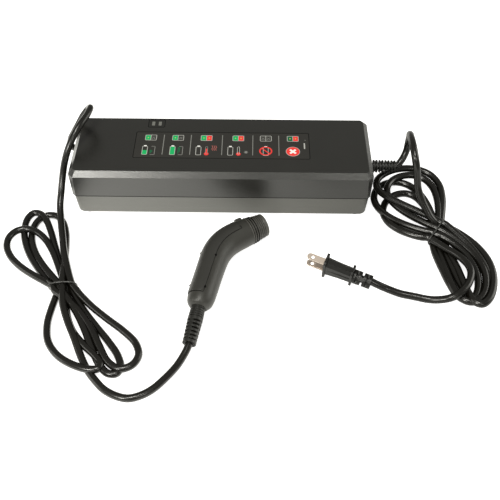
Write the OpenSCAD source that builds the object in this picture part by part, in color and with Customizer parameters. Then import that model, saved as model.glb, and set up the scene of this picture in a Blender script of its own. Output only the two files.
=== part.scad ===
// Cordless mower battery charger.
// A moulded box in two halves, with a mains cord on the right and an output cord on
// the left. Each cord is gathered in a hank by a wire tie.
// Millimetres. X runs along the length, Y from front to back, Z up. The origin lies
// under the middle of the housing, at the level of the feet.

/* [Housing] */
// length of the housing at its widest level
body_len = 290; // [270:1:320]
// depth of the housing at its widest level, front to back
body_dep = 87; // [84:1:100]
// height of the housing with its feet
body_high = 56; // [54:1:70]
// level at which the two halves part
parting_z = 26; // [24:0.5:30]
// thickness of the moulded walls
wall = 2.5; // [2:0.1:3]
// height of the sloping edge round the top
top_slope_high = 5; // [3:0.5:8]
// width of the sloping edge round the top
top_slope_wide = 4.5; // [3:0.5:8]
// flat cut across each upright corner of the upper half
corner_cut = 5; // [3:0.5:8]
// the same cut at the parting line
seam_corner_cut = 3; // [2:0.5:5]
// how far each side of the upper half leans in at the parting line
upper_draft = 0.8; // [0:0.1:2]
// step between the halves at the parting line
seam_step = 0.3; // [0:0.1:0.6]
// how far each side of the lower half leans in at its base
lower_draft = 1.4; // [0:0.1:2.5]
// radius of the upright corners of the lower half
lower_corner_r = 7; // [5:0.5:10]
// radius of the edge round the base
base_edge_r = 2; // [1:0.5:4]
// depth of the shadow groove under the parting line
groove_in = 0.5; // [0.3:0.1:0.8]
// height of the shadow groove
groove_high = 0.6; // [0.4:0.1:1]

/* [Seam, screws and feet] */
// thickness of the locating tongue on the lower half
tongue_thick = 1.2; // [1:0.1:1.4]
// height of the tongue above the parting line
tongue_high = 2; // [1.5:0.1:3]
// radius of the screw towers in the lower half
tower_r = 6.2; // [6:0.1:7]
// level of the top of the screw towers
tower_top_z = 23.5; // [20:0.5:24]
// radius of the screw bosses in the upper half
boss_r = 4; // [3.5:0.1:5]
// level of the seat under each screw head
screw_seat_z = 12; // [10:0.5:14]
// radius of a housing screw
screw_r = 1.5; // [1.25:0.05:1.75]
// length of a housing screw under its head
screw_len = 20; // [16:1:25]
// radius of a screw head
screw_head_r = 3; // [2.5:0.1:3.1]
// height of a screw head
screw_head_high = 2; // [1.5:0.1:2.5]
// distance of each foot centre from the end of the base
foot_in_x = 10.5; // [10:0.5:14]
// distance of each foot centre from the side of the base
foot_in_y = 8; // [8:0.5:12]
// radius of a rubber foot
foot_r = 5.8; // [5:0.1:6]
// height a foot stands out below the base
foot_high = 2; // [1.5:0.1:3]
// depth of the pocket a foot is glued in
foot_pocket = 1.2; // [1:0.1:1.5]

/* [Legend and lamps] */
// length of the legend panel
legend_len = 170; // [140:1:200]
// depth of the legend panel, front to back
legend_dep = 38; // [30:1:44]
// thickness of the legend panel
legend_thick = 0.4; // [0.3:0.1:0.8]
// sideways place of the middle of the legend panel
legend_x = 0; // [-20:1:20]
// place of the middle of the legend panel, front to back
legend_y = -1; // [-5:1:3]
// length of the lamp window plate
window_len = 16.4; // [14:0.1:20]
// depth of the lamp window plate, front to back
window_dep = 11.6; // [9:0.1:13]
// thickness of the lamp window plate
window_thick = 0.6; // [0.4:0.1:1]
// sideways place of the middle of the window
window_x = -66.4; // [-90:0.1:90]
// distance of the middle of the window from the back of the housing
window_in = 12.3; // [11:0.1:14]
// width of a lamp lens
lens_wide = 3; // [2:0.1:4]
// length of a lamp lens, front to back
lens_long = 6; // [4:0.1:8]
// distance between the two lenses
lens_pitch = 6.6; // [6:0.1:8]
// height of a lamp lens, down to its lamp
lens_high = 11; // [8:0.5:14]

/* [Cords and sleeves] */
// diameter of the mains cord
mains_d = 6.4; // [5:0.1:7.5]
// diameter of the output cord
dc_d = 5.4; // [4.5:0.1:6.5]
// place of the mains exit, front to back
mains_exit_y = 4; // [-10:1:12]
// distance of the output exit from the back of the housing
dc_exit_in = 16.5; // [16:0.5:34]
// radius of the neck that a sleeve has in the wall
neck_r = 4.8; // [4.5:0.1:5.2]
// radius of the flange behind the wall
flange_r = 6.4; // [6:0.1:7]
// thickness of the flange behind the wall
flange_thick = 2; // [1.5:0.1:2.5]
// length of the mains sleeve outside the wall
mains_sleeve_len = 29; // [20:1:36]
// radius of the ribs of the mains sleeve
mains_rib_r = 6.3; // [5.5:0.1:6.4]
// number of ribs of the mains sleeve
mains_rib_count = 10; // [6:1:12]
// length of the output sleeve outside the wall
dc_sleeve_len = 8; // [6:0.5:20]
// radius of the ribs of the output sleeve
dc_rib_r = 5.4; // [5:0.1:6]
// number of ribs of the output sleeve
dc_rib_count = 3; // [2:1:6]
// thickness of one rib
rib_thick = 1.5; // [1:0.1:1.8]
// thickness of the core of a sleeve round its cord
sleeve_skin = 1.3; // [1:0.1:1.6]
// thickness of the wire of a tie
tie_wire = 1.2; // [0.8:0.1:1.6]
// width of the band of a tie along the cord
tie_band_wide = 3; // [2:0.5:5]

/* [Mains plug] */
// distance between the two blades
blade_pitch = 12.7; // [12:0.1:13]
// width of a blade
blade_wide = 6.35; // [6:0.05:7]
// thickness of a blade
blade_thick = 1.5; // [1.3:0.1:1.7]
// length of a blade outside the plug
blade_len = 17.4; // [16:0.1:18]
// diameter of the hole in a blade
blade_hole_d = 3.2; // [3:0.1:3.6]
// distance of that hole from the face of the plug
blade_hole_at = 11.9; // [11:0.1:13]
// height of the front flange of the plug
plug_flange_high = 28; // [26:0.5:30]
// width of the front flange of the plug
plug_flange_wide = 13; // [11:0.5:15]
// thickness of the flanges of the plug
plug_flange_thick = 2; // [1.5:0.1:3]
// height of the plug between its flanges
plug_grip_high = 21; // [18:0.5:24]
// width of the plug between its flanges
plug_grip_wide = 9.6; // [9:0.1:11]
// distance from the front face to the back of the rear flange
plug_len = 27.5; // [24:0.5:32]
// height of the rear flange of the plug
plug_rear_high = 24; // [22:0.5:25]
// width of the rear flange of the plug
plug_rear_wide = 11.6; // [10:0.1:13]
// length of the plug sleeve
plug_sleeve_len = 17; // [14:0.5:22]

/* [Output connector] */
// radius of the collar at its mouth
collar_tip_r = 11.2; // [10.5:0.1:12]
// radius of the collar at the handle
collar_base_r = 13.2; // [12.5:0.1:13.4]
// length of the collar
collar_len = 18; // [16:0.5:22]
// length of the plain band at the mouth
collar_plain = 3; // [2:0.5:5]
// number of fine rings on the collar
collar_ring_count = 6; // [4:1:8]
// height of the fine rings
ring_high = 0.5; // [0.3:0.1:0.8]
// radius of the insulating disc in the mouth
insulator_r = 8.8; // [8:0.1:9.5]
// depth of the insulating disc
insulator_deep = 9; // [6:0.5:12]
// radius of a contact socket
contact_r = 1.7; // [1.5:0.1:2]
// radius of the circle the contact sockets stand on
contact_ring_r = 4.6; // [4:0.1:5]
// thickness of the soft strip on the handle
inlay_thick = 0.5; // [0.3:0.1:1]
// length of the connector sleeve
connector_sleeve_len = 35; // [30:1:40]

/* [Inside] */
// thickness of the circuit board
board_thick = 1.6; // [1:0.1:2]
// height of the board above the floor
board_lift = 5; // [4:0.5:7]
// distance of the board from the side walls
board_gap_y = 1.8; // [1:0.1:4]
// distance of the ends of the board from the screw towers
board_gap_x = 2.8; // [1:0.1:8]
// thickness of the insulating sheet under the board
sheet_thick = 0.4; // [0.2:0.1:0.8]
// length of the fuse
fuse_len = 22; // [20:1:32]
// radius of the bulk capacitors
bulk_r = 11; // [9:0.5:12]
// height of the bulk capacitors
bulk_high = 31; // [25:1:35]
// length of the heatsink on the mains side
primary_sink_len = 56; // [40:1:58]
// height of the heatsink on the mains side
primary_sink_high = 28; // [20:1:34]
// length of the heatsink on the output side
secondary_sink_len = 50; // [40:1:52]
// height of the heatsink on the output side
secondary_sink_high = 22; // [16:1:26]
// length of the transformer core
core_len = 42; // [36:1:48]
// depth of the transformer core
core_dep = 16; // [12:1:18]
// height of the transformer core
core_high = 33; // [28:1:36]
// depth of the transformer winding
winding_dep = 30; // [26:1:34]
// radius of the output inductor
inductor_r = 15.5; // [12:0.5:17]
// radius of the output capacitors
out_cap_r = 6.3; // [5:0.1:7]
// height of the output capacitors
out_cap_high = 25; // [20:1:30]

/* [Hidden] */

$fn = 48;

// clearances, and how deep parts of one piece reach into each other
weld = 0.5;
sink = 0.05;
seam_gap = 0.15;
insert_gap = 0.12;
hole_gap = 0.2;
thread_gap = 0.05;
tie_gap = 0.3;
inlay_gap = 0.06;
tube_overlap = 2;

// derived sizes of the housing
shoulder_z = body_high - top_slope_high;
top_len = body_len - 2 * top_slope_wide;
top_dep = body_dep - 2 * top_slope_wide;
top_cut = corner_cut - top_slope_wide * 0.5;
seam_len = body_len - 2 * upper_draft;
seam_dep = body_dep - 2 * upper_draft;
low_seam_len = seam_len - 2 * seam_step;
low_seam_dep = seam_dep - 2 * seam_step;
base_len = low_seam_len - 2 * lower_draft;
base_dep = low_seam_dep - 2 * lower_draft;
base_z = foot_high;
floor_z = base_z + wall;
ceiling_z = body_high - wall;
cut_trim = wall * (2 - sqrt(2));
slope_len = sqrt(top_slope_wide * top_slope_wide + top_slope_high * top_slope_high);
inner_shoulder_z = shoulder_z - wall * (slope_len - top_slope_high) / top_slope_wide;
inner_top_in = (wall * slope_len + (ceiling_z - shoulder_z) * top_slope_wide) / top_slope_high;
tongue_len = low_seam_len - 2 * wall + 2 * tongue_thick;
tongue_dep = low_seam_dep - 2 * wall + 2 * tongue_thick;
tongue_r = lower_corner_r - wall + tongue_thick;
foot_x = base_len / 2 - foot_in_x;
foot_y = base_dep / 2 - foot_in_y;
foot_edge = 0.4;
window_y = body_dep / 2 - window_in;
dc_exit_y = body_dep / 2 - dc_exit_in;
board_z = floor_z + board_lift;
board_top = board_z + board_thick;
board_len = 2 * (foot_x - tower_r - board_gap_x);
board_dep = base_dep - 2 * wall - 2 * board_gap_y;
post_in_x = 9;
post_in_y = 6;
post_x = board_len / 2 - post_in_x;
post_y = board_dep / 2 - post_in_y;
post_r = 3.4;
board_screw_r = 1.25;
board_screw_head_r = 2.5;
board_screw_head_high = 1.6;
boss_rib_thick = 1.6;
boss_rib_out = 3;
boss_rib_lift = 6;
saddle_wide = 17;
saddle_thick = 5.2;
saddle_drop = 3;
lamp_post_out = 10.5;
lamp_post_r = 2.4;
lamp_post_bore_r = 0.9;
lamp_board_drop = 14;
lamp_board_len = 27;
lamp_board_dep = 11;
lamp_board_back = 1;
lamp_r = 1.5;
lens_shoulder = 1;
lens_shoulder_high = 1.2;
recess_long = 3.4;
recess_wide = 0.8;
recess_deep = 1.2;
mains_wall_x = seam_len / 2;
dc_wall_x = -seam_len / 2;
corner_steps = 8;
edge_steps = 4;
bridge_wide = 2;
bridge_in = 0.4;

// the cords and what hangs on them are drawn for end walls at this distance, and follow them
drawn_wall_x = 144.2;
mains_move = [mains_wall_x - drawn_wall_x, 0, 0];
dc_move = -mains_move;

// routes of the cords, as points on their centre lines
mains_tip = [mains_wall_x + mains_sleeve_len, mains_exit_y, parting_z];
mains_arch = [[180, 9, 30], [183, 14, 37], [184, 17, 46], [184, 13, 58], [182, 5, 67],
    [181, -7, 72], [181, -20, 73], [182, -30, 69], [184, -35, 61], [186, -38, 51],
    [189, -42, 40], [193, -47, 31], [198, -53, 23], [204, -62, 17]];
mains_lead_route = concat([mains_tip - [tube_overlap, 0, 0], mains_tip + [2, 0.5, 0.5]],
    [for (p = mains_arch) p + mains_move]);
mains_tail_route = [[216, -143, 3.4], [202, -146, 3.4], [190, -146, 3.4], [177, -144, 3.4],
    [165, -141, 3.6], [153, -137, 5.5], [144, -135, 9], [136.8, -132.6, 11.4]];
dc_tip = [dc_wall_x - dc_sleeve_len, dc_exit_y, parting_z];
dc_arch = [[-156, 26.5, 30], [-156, 25.5, 37], [-153, 25.5, 43], [-149.5, 26.5, 49],
    [-145, 28, 56], [-140.5, 31, 63], [-135, 35, 69], [-131, 33, 74],
    [-130.5, 22, 77], [-134, 9, 77], [-139, -3, 74], [-144, -12, 67], [-150, -17, 57],
    [-155, -20, 46], [-157, -24, 35], [-158, -34, 24], [-158, -47, 16], [-156, -60, 11]];
dc_lead_route = concat([dc_tip + [tube_overlap, 0, 0], dc_tip - [1, 0, -0.5]],
    [for (p = dc_arch) p + dc_move]);
dc_tail_route = [[-108, -220, 4], [-101, -230, 2.9], [-91, -242, 2.9], [-79, -250, 2.9],
    [-68, -252, 2.9], [-58, -249, 2.9], [-49, -243, 2.9], [-40, -232, 2.9],
    [-32, -221, 3.4], [-26, -210, 4.8], [-22.3, -200, 7]];

// the two hanks: place of the tie, direction of the reach, width and height at the tie
mains_tie_at = [207, -70];
mains_tie_turn = 142;
mains_tie_wide = 30;
mains_hank_high = 18;
mains_loops_at = [181, -14];
mains_loops_r = 32;
mains_lobes_at = [231, -140];
mains_lobes_r = 21;
dc_tie_at = [-140, -139];
dc_tie_turn = 118;
dc_tie_wide = 24;
dc_hank_high = 14;
dc_loops_at = [-176, -76];
dc_loops_r = 29;
dc_lobes_at = [-106, -204];
dc_lobes_r = 20;
dc_far_lobes_at = [-86, -208];
dc_far_lobes_r = 19;
waist_step = 12;

// the plug lies on the edges of its flanges
plug_at = [97, -118, 15.3];
plug_yaw = -22.7;
plug_pitch = 4.4;
plug_lean = 13;
plug_corner_r = 2.5;
plug_core_r = 4.2;
plug_ring_r = 6;
plug_ring_from = 3;
plug_ring_pitch = 5.5;
plug_ring_thick = 2.4;
plug_collar_len = 3;
plug_ridge = 1.2;
blade_root = 9.5;

// the connector lies on the ground: stations of its handle with half width and height
handle_stations = [[26, -76, 13.5, 13.2, 13.2], [19, -80.5, 13.5, 13.8, 13.4],
    [12, -85.5, 13.5, 14, 13.4], [6, -91, 13.5, 14, 13.4], [1, -98, 13.5, 13.8, 13.4],
    [-3, -107, 13.5, 13.4, 13.2], [-6, -119, 13.5, 12.9, 12.9], [-9, -133, 13.4, 12.6, 12.6],
    [-12, -147, 13.2, 12.5, 12.5], [-14, -156, 12.9, 12.2, 12.2],
    [-15.2, -161.5, 12.7, 11, 11], [-15.7, -164.3, 12.25, 9.2, 9.2], [-16, -166, 12, 7.4, 7.4]];
collar_at = [26, -76, 13.5];
collar_yaw = 31;
handle_sides = 28;
inlay_first_side = 7;
inlay_last_side = 13;
relief_top = [-16, -166, 12];
relief_end = [-22, -200, 7];
relief_top_r = 6.8;
relief_end_r = 5.6;
lug_r = 3;
lug_len = 8.9;
lug_up = 5;
lug_out = 11.4;

// more sizes of the parts on the board
fuse_r = 3;
fuse_lift = 5;
fuse_clip_thick = 1;
fuse_clip_high = 8;
choke_r = 8.9;
choke_wire_r = 3.1;
choke_foot_high = 4;
choke_foot_long = 16;
x_cap_thick = 8.5;
x_cap_long = 22;
x_cap_high = 15;
bridge_len = 22;
bridge_thick = 4.5;
bridge_high = 19;
sink_thick = 2.5;
fin_thick = 1.5;
fin_deep = 3;
fin_in = 4;
transistor_wide = 16;
transistor_thick = 4.8;
transistor_high = 20;
transistor_out = 15;
transistor_lift = 4;
diode_wide = 10;
diode_thick = 4.5;
diode_high = 16;
diode_out = 12;
diode_lift = 3;
core_lift = 2;
core_yoke = 5;
core_side = 5.5;
core_centre = 13;
winding_gap = 0.3;
rail_len = 26;
rail_dep = 6;
inductor_wire_r = 6;
out_cap_pitch = 15;
relay_len = 19;
relay_dep = 15.5;
relay_high = 15;
chip_len = 10;
chip_dep = 7.5;
chip_high = 2;
opto_len = 6.4;
opto_dep = 4.6;
opto_high = 3.5;
inner_wire_r = 1.2;

// places of the parts, as shares of the half length and half depth of the board
function share(u, v) = [u * board_len / 2, v * board_dep / 2];
fuse_at = [post_x - board_screw_head_r - fuse_r - 0.5, -0.54 * board_dep / 2];
choke_at = share(0.84, 0.46);
x_cap_at = share(0.73, -0.44);
bridge_at = share(0.67, 0.79);
bulk_front_at = share(0.52, -0.55);
bulk_back_at = share(0.52, 0.16);
primary_sink_at = share(0.31, 0.84);
transformer_at = share(0.16, -0.16);
secondary_sink_at = share(-0.22, 0.84);
inductor_at = share(-0.25, -0.27);
out_cap_at = share(-0.5, -0.65);
relay_at = share(-0.73, 0.49);
chip_at = share(-0.67, -0.33);
opto_at = share(-0.05, -0.76);

// list helpers
function unit(v) = v / norm(v);
function heading(p, i) = unit(p[min(i + 1, len(p) - 1)] - p[max(i - 1, 0)]);
function square_to(t, n) = unit(n - (n * t) * t);
function carried(p, i, n) = i == len(p) ? []
    : let (m = square_to(heading(p, i), n)) concat([m], carried(p, i + 1, m));

// outline with a flat cut at each corner, at one level
function cut_ring(l, d, c, z) = [[l / 2 - c, -d / 2, z], [l / 2, -d / 2 + c, z],
    [l / 2, d / 2 - c, z], [l / 2 - c, d / 2, z], [-l / 2 + c, d / 2, z],
    [-l / 2, d / 2 - c, z], [-l / 2, -d / 2 + c, z], [-l / 2 + c, -d / 2, z]];

// outline with round corners, at one level
function round_ring(l, d, r, z) = [for (q = [0:3]) for (k = [0:corner_steps])
    let (a = 90 * (q - 1) + 90 * k / corner_steps,
        sx = q < 2 ? 1 : -1, sy = q == 1 || q == 2 ? 1 : -1)
    [sx * (l / 2 - r) + r * cos(a), sy * (d / 2 - r) + r * sin(a), z]];

// a closed skin over a stack of outlines that have the same number of points
module loft(rings) {
    n = len(rings[0]);
    last = len(rings) - 1;
    points = [for (ring = rings) each ring];
    sides = [for (k = [0:last - 1]) for (i = [0:n - 1])
        [k * n + i, (k + 1) * n + i, (k + 1) * n + (i + 1) % n, k * n + (i + 1) % n]];
    bottom = [[for (i = [0:n - 1]) i]];
    top = [[for (i = [0:n - 1]) last * n + n - 1 - i]];
    polyhedron(points, concat(sides, bottom, top));
}

// a closed skin over rings that don't stay parallel, in triangles
module skin(rings) {
    n = len(rings[0]);
    last = len(rings) - 1;
    points = [for (ring = rings) each ring];
    lower = [for (k = [0:last - 1]) for (i = [0:n - 1])
        [k * n + i, (k + 1) * n + i, k * n + (i + 1) % n]];
    upper = [for (k = [0:last - 1]) for (i = [0:n - 1])
        [(k + 1) * n + i, (k + 1) * n + (i + 1) % n, k * n + (i + 1) % n]];
    bottom = [[for (i = [0:n - 1]) i]];
    top = [[for (i = [0:n - 1]) last * n + n - 1 - i]];
    polyhedron(points, concat(lower, upper, bottom, top));
}

// a round cord along a route
module cord(route, r, start = [0, 0, 1], sides = 10) {
    normals = carried(route, 0, start);
    skin([for (i = [0:len(route) - 1])
        let (t = heading(route, i), n = normals[i], b = cross(t, n))
        [for (k = [0:sides - 1]) let (a = 360 * k / sides)
            route[i] + r * (n * cos(a) + b * sin(a))]]);
}

// flat plate with round corners
module rounded(l, d, r) {
    square([l - 2 * r, d], center = true);
    square([l, d - 2 * r], center = true);
    for (sx = [-1, 1], sy = [-1, 1])
        translate([sx * (l / 2 - r), sy * (d / 2 - r)]) circle(r = r);
}

// outline round two circles of different size
module taper_slot(a, b, ra, rb) {
    turn = atan2(b[1] - a[1], b[0] - a[0]);
    tilt = acos((ra - rb) / norm(b - a));
    polygon(concat(
        [for (k = [0:16]) let (g = turn + tilt + (360 - 2 * tilt) * k / 16)
            a + ra * [cos(g), sin(g)]],
        [for (k = [0:16]) let (g = turn - tilt + 2 * tilt * k / 16)
            b + rb * [cos(g), sin(g)]]));
}

// does the same at the four corners of a rectangle
module at_corners(x, y) {
    for (sx = [-1, 1], sy = [-1, 1]) translate([sx * x, sy * y, 0]) children();
}

// cylinder along X, from the given place towards +X
module rod_x(place, r, l) {
    translate(place) rotate([0, 90, 0]) cylinder(r = r, h = l);
}

// sleeve of ribs on a core, along +Z from its root, tapering to its tip
module ribs(core, root_r, tip_r, l, count, thick) {
    pitch = (l - thick) / (count - 1);
    cylinder(r = core, h = l);
    for (k = [0:count - 1]) {
        r = root_r + (tip_r - root_r) * k / (count - 1);
        translate([0, 0, k * pitch]) cylinder(r = r, h = thick);
    }
    // bridges join each pair of ribs, turned a quarter from one pair to the next
    for (k = [0:count - 2]) {
        r = root_r + (tip_r - root_r) * (k + 1) / (count - 1) - bridge_in;
        rotate([0, 0, 45 + 90 * (k % 2)])
            translate([-r, -bridge_wide / 2, k * pitch + thick / 2])
                cube([2 * r, bridge_wide, pitch]);
    }
}

// the holes in the end walls for the necks of the two sleeves
module neck_holes() {
    rod_x([mains_wall_x - 2 * wall, mains_exit_y, parting_z], neck_r + seam_gap, 4 * wall);
    rod_x([dc_wall_x - 2 * wall, dc_exit_y, parting_z], neck_r + seam_gap, 4 * wall);
}

// the room that the flanges of the two sleeves need behind the end walls
module flange_rooms() {
    rod_x([mains_wall_x - wall - seam_step - flange_thick - 2 * seam_gap, mains_exit_y, parting_z],
        flange_r + seam_gap, flange_thick + 2 * seam_gap);
    rod_x([dc_wall_x + wall + seam_step, dc_exit_y, parting_z],
        flange_r + seam_gap, flange_thick + 2 * seam_gap);
}

// block that a flange rests in
module cord_saddle(x, y) {
    translate([x, y - saddle_wide / 2, floor_z - weld])
        cube([saddle_thick, saddle_wide, parting_z - floor_z - saddle_drop]);
}

module upper_housing() color([0.13, 0.13, 0.12]) difference() {
    union() {
        difference() {
            loft([cut_ring(seam_len, seam_dep, seam_corner_cut, parting_z),
                cut_ring(body_len, body_dep, corner_cut, shoulder_z),
                cut_ring(top_len, top_dep, top_cut, body_high)]);
            loft([cut_ring(seam_len - 2 * wall, seam_dep - 2 * wall,
                    seam_corner_cut - cut_trim, parting_z - 1),
                cut_ring(body_len - 2 * wall, body_dep - 2 * wall,
                    corner_cut - cut_trim, inner_shoulder_z),
                cut_ring(body_len - 2 * inner_top_in, body_dep - 2 * inner_top_in,
                    top_cut - cut_trim / 2, ceiling_z)]);
            // rebate for the tongue of the lower half
            translate([0, 0, parting_z - 1])
                linear_extrude(tongue_high + seam_gap + 1)
                    rounded(tongue_len + 2 * seam_gap, tongue_dep + 2 * seam_gap,
                        tongue_r + seam_gap);
        }
        // bosses for the housing screws
        at_corners(foot_x, foot_y)
            translate([0, 0, tower_top_z + seam_gap])
                cylinder(r = boss_r, h = ceiling_z - tower_top_z + weld);
        // ribs that stiffen each boss
        at_corners(foot_x, foot_y)
            translate([-boss_rib_thick / 2, -boss_r - boss_rib_out, parting_z + boss_rib_lift])
                cube([boss_rib_thick, 2 * boss_r + 2 * boss_rib_out,
                    ceiling_z - parting_z - boss_rib_lift + weld]);
        // posts that carry the indicator board
        for (s = [-1, 1])
            translate([window_x + s * lamp_post_out, window_y - lamp_board_back,
                ceiling_z - lamp_board_drop])
                cylinder(r = lamp_post_r, h = lamp_board_drop + weld);
    }
    // screw pilots
    at_corners(foot_x, foot_y)
        translate([0, 0, tower_top_z - 1])
            cylinder(r = screw_r + thread_gap, h = screw_len - (tower_top_z - screw_seat_z) + 3);
    for (s = [-1, 1])
        translate([window_x + s * lamp_post_out, window_y - lamp_board_back,
            ceiling_z - lamp_board_drop - 1])
            cylinder(r = lamp_post_bore_r, h = lamp_board_drop / 2);
    // legend and window recesses
    translate([legend_x, legend_y, body_high - legend_thick - sink])
        linear_extrude(2) rounded(legend_len + 2 * insert_gap, legend_dep + 2 * insert_gap, 2);
    translate([window_x, window_y, body_high - window_thick - sink])
        linear_extrude(2) rounded(window_len + 2 * insert_gap, window_dep + 2 * insert_gap, 1);
    for (s = [-1, 1])
        translate([window_x + s * lens_pitch / 2, window_y, ceiling_z - 1])
            linear_extrude(wall + 2)
                square([lens_wide + 2 * hole_gap, lens_long + 2 * hole_gap], center = true);
    neck_holes();
}

module lower_housing() color([0.13, 0.13, 0.12]) difference() {
    union() {
        difference() {
            lower_shape();
            loft([round_ring(base_len - 2 * wall, base_dep - 2 * wall,
                    lower_corner_r - wall, floor_z),
                round_ring(low_seam_len - 2 * wall, low_seam_dep - 2 * wall,
                    lower_corner_r - wall, parting_z + 1)]);
        }
        // tongue that locates the upper half
        translate([0, 0, parting_z - 1.5])
            linear_extrude(tongue_high + 1.5)
                difference() {
                    rounded(tongue_len, tongue_dep, tongue_r);
                    rounded(tongue_len - 2 * tongue_thick, tongue_dep - 2 * tongue_thick,
                        tongue_r - tongue_thick);
                }
        intersection() {
            union() {
                // towers for the housing screws
                at_corners(foot_x, foot_y)
                    translate([0, 0, base_z + weld])
                        cylinder(r = tower_r, h = tower_top_z - base_z - weld);
                // posts for the board
                at_corners(post_x, post_y)
                    translate([0, 0, floor_z - weld])
                        cylinder(r = post_r, h = board_lift + weld);
                cord_saddle(mains_wall_x - wall + seam_step - saddle_thick, mains_exit_y);
                cord_saddle(dc_wall_x + wall - seam_step, dc_exit_y);
            }
            lower_shape();
        }
    }
    // screw holes, from below
    at_corners(foot_x, foot_y) {
        translate([0, 0, base_z - 1]) cylinder(r = foot_r + insert_gap, h = foot_pocket + 1);
        translate([0, 0, base_z]) cylinder(r = screw_head_r + 2 * hole_gap, h = screw_seat_z - base_z);
        translate([0, 0, base_z]) cylinder(r = screw_r + hole_gap, h = tower_top_z);
    }
    at_corners(post_x, post_y)
        translate([0, 0, floor_z + weld]) cylinder(r = board_screw_r + thread_gap, h = board_lift + 1);
    neck_holes();
    flange_rooms();
}

// outer form of the lower half
module lower_shape() {
    run = parting_z - base_z;
    function lean(z) = 2 * lower_draft * (z - base_z) / run;
    loft(concat(
        [for (k = [0:edge_steps]) let (a = 90 * k / edge_steps,
            in = base_edge_r * (1 - sin(a)), z = base_z + base_edge_r * (1 - cos(a)))
            round_ring(base_len + lean(z) - 2 * in, base_dep + lean(z) - 2 * in,
                lower_corner_r - in, z)],
        [let (z = parting_z - groove_high)
            round_ring(base_len + lean(z), base_dep + lean(z), lower_corner_r, z)],
        [for (z = [parting_z - groove_high + 0.01, parting_z])
            round_ring(low_seam_len - 2 * groove_in, low_seam_dep - 2 * groove_in,
                lower_corner_r - groove_in, z)]));
}

module legend_panel() color([0.2, 0.2, 0.19])
    translate([legend_x, legend_y, body_high - legend_thick - sink])
        linear_extrude(legend_thick) rounded(legend_len, legend_dep, 2 - insert_gap);

module led_window() color([0.16, 0.16, 0.16])
    translate([window_x, window_y, body_high - window_thick - sink])
        linear_extrude(window_thick)
            difference() {
                rounded(window_len, window_dep, 1 - insert_gap);
                for (s = [-1, 1])
                    translate([s * lens_pitch / 2, 0])
                        square([lens_wide + 2 * insert_gap, lens_long + 2 * insert_gap],
                            center = true);
            }

// one lens, held from below by its shoulder
module light_pipe(side) color([0.6, 0.6, 0.58]) {
    x = window_x + side * lens_pitch / 2;
    translate([x, window_y, body_high - lens_high - sink])
        linear_extrude(lens_high) square([lens_wide, lens_long], center = true);
    translate([x, window_y, ceiling_z - lens_shoulder_high - insert_gap])
        linear_extrude(lens_shoulder_high)
            square([lens_wide + 2 * lens_shoulder, lens_long + 2 * lens_shoulder], center = true);
}

module light_pipe_left() light_pipe(-1);

module light_pipe_right() light_pipe(1);

module housing_screws() color([0.6, 0.6, 0.6]) at_corners(foot_x, foot_y) {
    translate([0, 0, screw_seat_z]) cylinder(r = screw_r, h = screw_len);
    translate([0, 0, screw_seat_z - screw_head_high])
        difference() {
            cylinder(r = screw_head_r, h = screw_head_high);
            // cross recess
            for (a = [0, 90]) rotate([0, 0, a])
                translate([-recess_long / 2, -recess_wide / 2, -weld])
                    cube([recess_long, recess_wide, recess_deep + weld]);
        }
}

module foot(sx, sy) color([0.08, 0.08, 0.08])
    translate([sx * foot_x, sy * foot_y, 0]) {
        cylinder(r = foot_r - foot_edge, h = foot_edge + weld);
        translate([0, 0, foot_edge])
            cylinder(r = foot_r, h = foot_high + foot_pocket - foot_edge - insert_gap);
    }

module foot_front_left() foot(-1, -1);

module foot_front_right() foot(1, -1);

module foot_back_left() foot(-1, 1);

module foot_back_right() foot(1, 1);

module mains_strain_relief() color([0.07, 0.07, 0.07]) {
    rod_x([mains_wall_x - wall - seam_step - flange_thick - seam_gap, mains_exit_y, parting_z],
        flange_r, flange_thick);
    rod_x([mains_wall_x - wall - seam_step - flange_thick, mains_exit_y, parting_z],
        neck_r, wall + seam_step + flange_thick + 1);
    translate([mains_wall_x + upper_draft, mains_exit_y, parting_z]) rotate([0, 90, 0])
        ribs(mains_d / 2 + sleeve_skin, mains_rib_r, mains_rib_r - 0.6,
            mains_sleeve_len - upper_draft, mains_rib_count, rib_thick);
}

module dc_strain_relief() color([0.07, 0.07, 0.07]) {
    rod_x([dc_wall_x + wall + seam_step + seam_gap, dc_exit_y, parting_z],
        flange_r, flange_thick);
    rod_x([dc_wall_x - 1, dc_exit_y, parting_z], neck_r, wall + seam_step + flange_thick + 1);
    translate([dc_wall_x - upper_draft, dc_exit_y, parting_z]) rotate([0, -90, 0])
        ribs(dc_d / 2 + sleeve_skin, dc_rib_r, dc_rib_r - 0.5,
            dc_sleeve_len - upper_draft, dc_rib_count, rib_thick);
}

module mains_cord_lead() color([0.05, 0.05, 0.05])
    cord(mains_lead_route, mains_d / 2);

module mains_cord_tail() color([0.05, 0.05, 0.05])
    translate(mains_move) cord(mains_tail_route, mains_d / 2);

module dc_cord_lead() color([0.05, 0.05, 0.05])
    cord(dc_lead_route, dc_d / 2);

module dc_cord_tail() color([0.05, 0.05, 0.05])
    translate(dc_move) cord(dc_tail_route, dc_d / 2);

// band of wire round the waist of a hank, grown by a gap on both faces
module tie_band(place, turn, wide, high, gap) {
    translate([place[0], place[1], 0]) rotate([0, 0, turn])
        difference() {
            translate([-tie_band_wide / 2 - gap, -wide / 2 - gap, -gap])
                cube([tie_band_wide + 2 * gap, wide + 2 * gap, high + 2 * gap]);
            translate([-tie_band_wide, -wide / 2 + tie_wire + gap, tie_wire + gap])
                cube([2 * tie_band_wide, wide - 2 * tie_wire - 2 * gap, high - 2 * tie_wire - 2 * gap]);
        }
}

module mains_cord_tie() color([0.1, 0.1, 0.1]) translate(mains_move)
    tie_band(mains_tie_at, mains_tie_turn, mains_tie_wide, mains_hank_high, 0);

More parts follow.
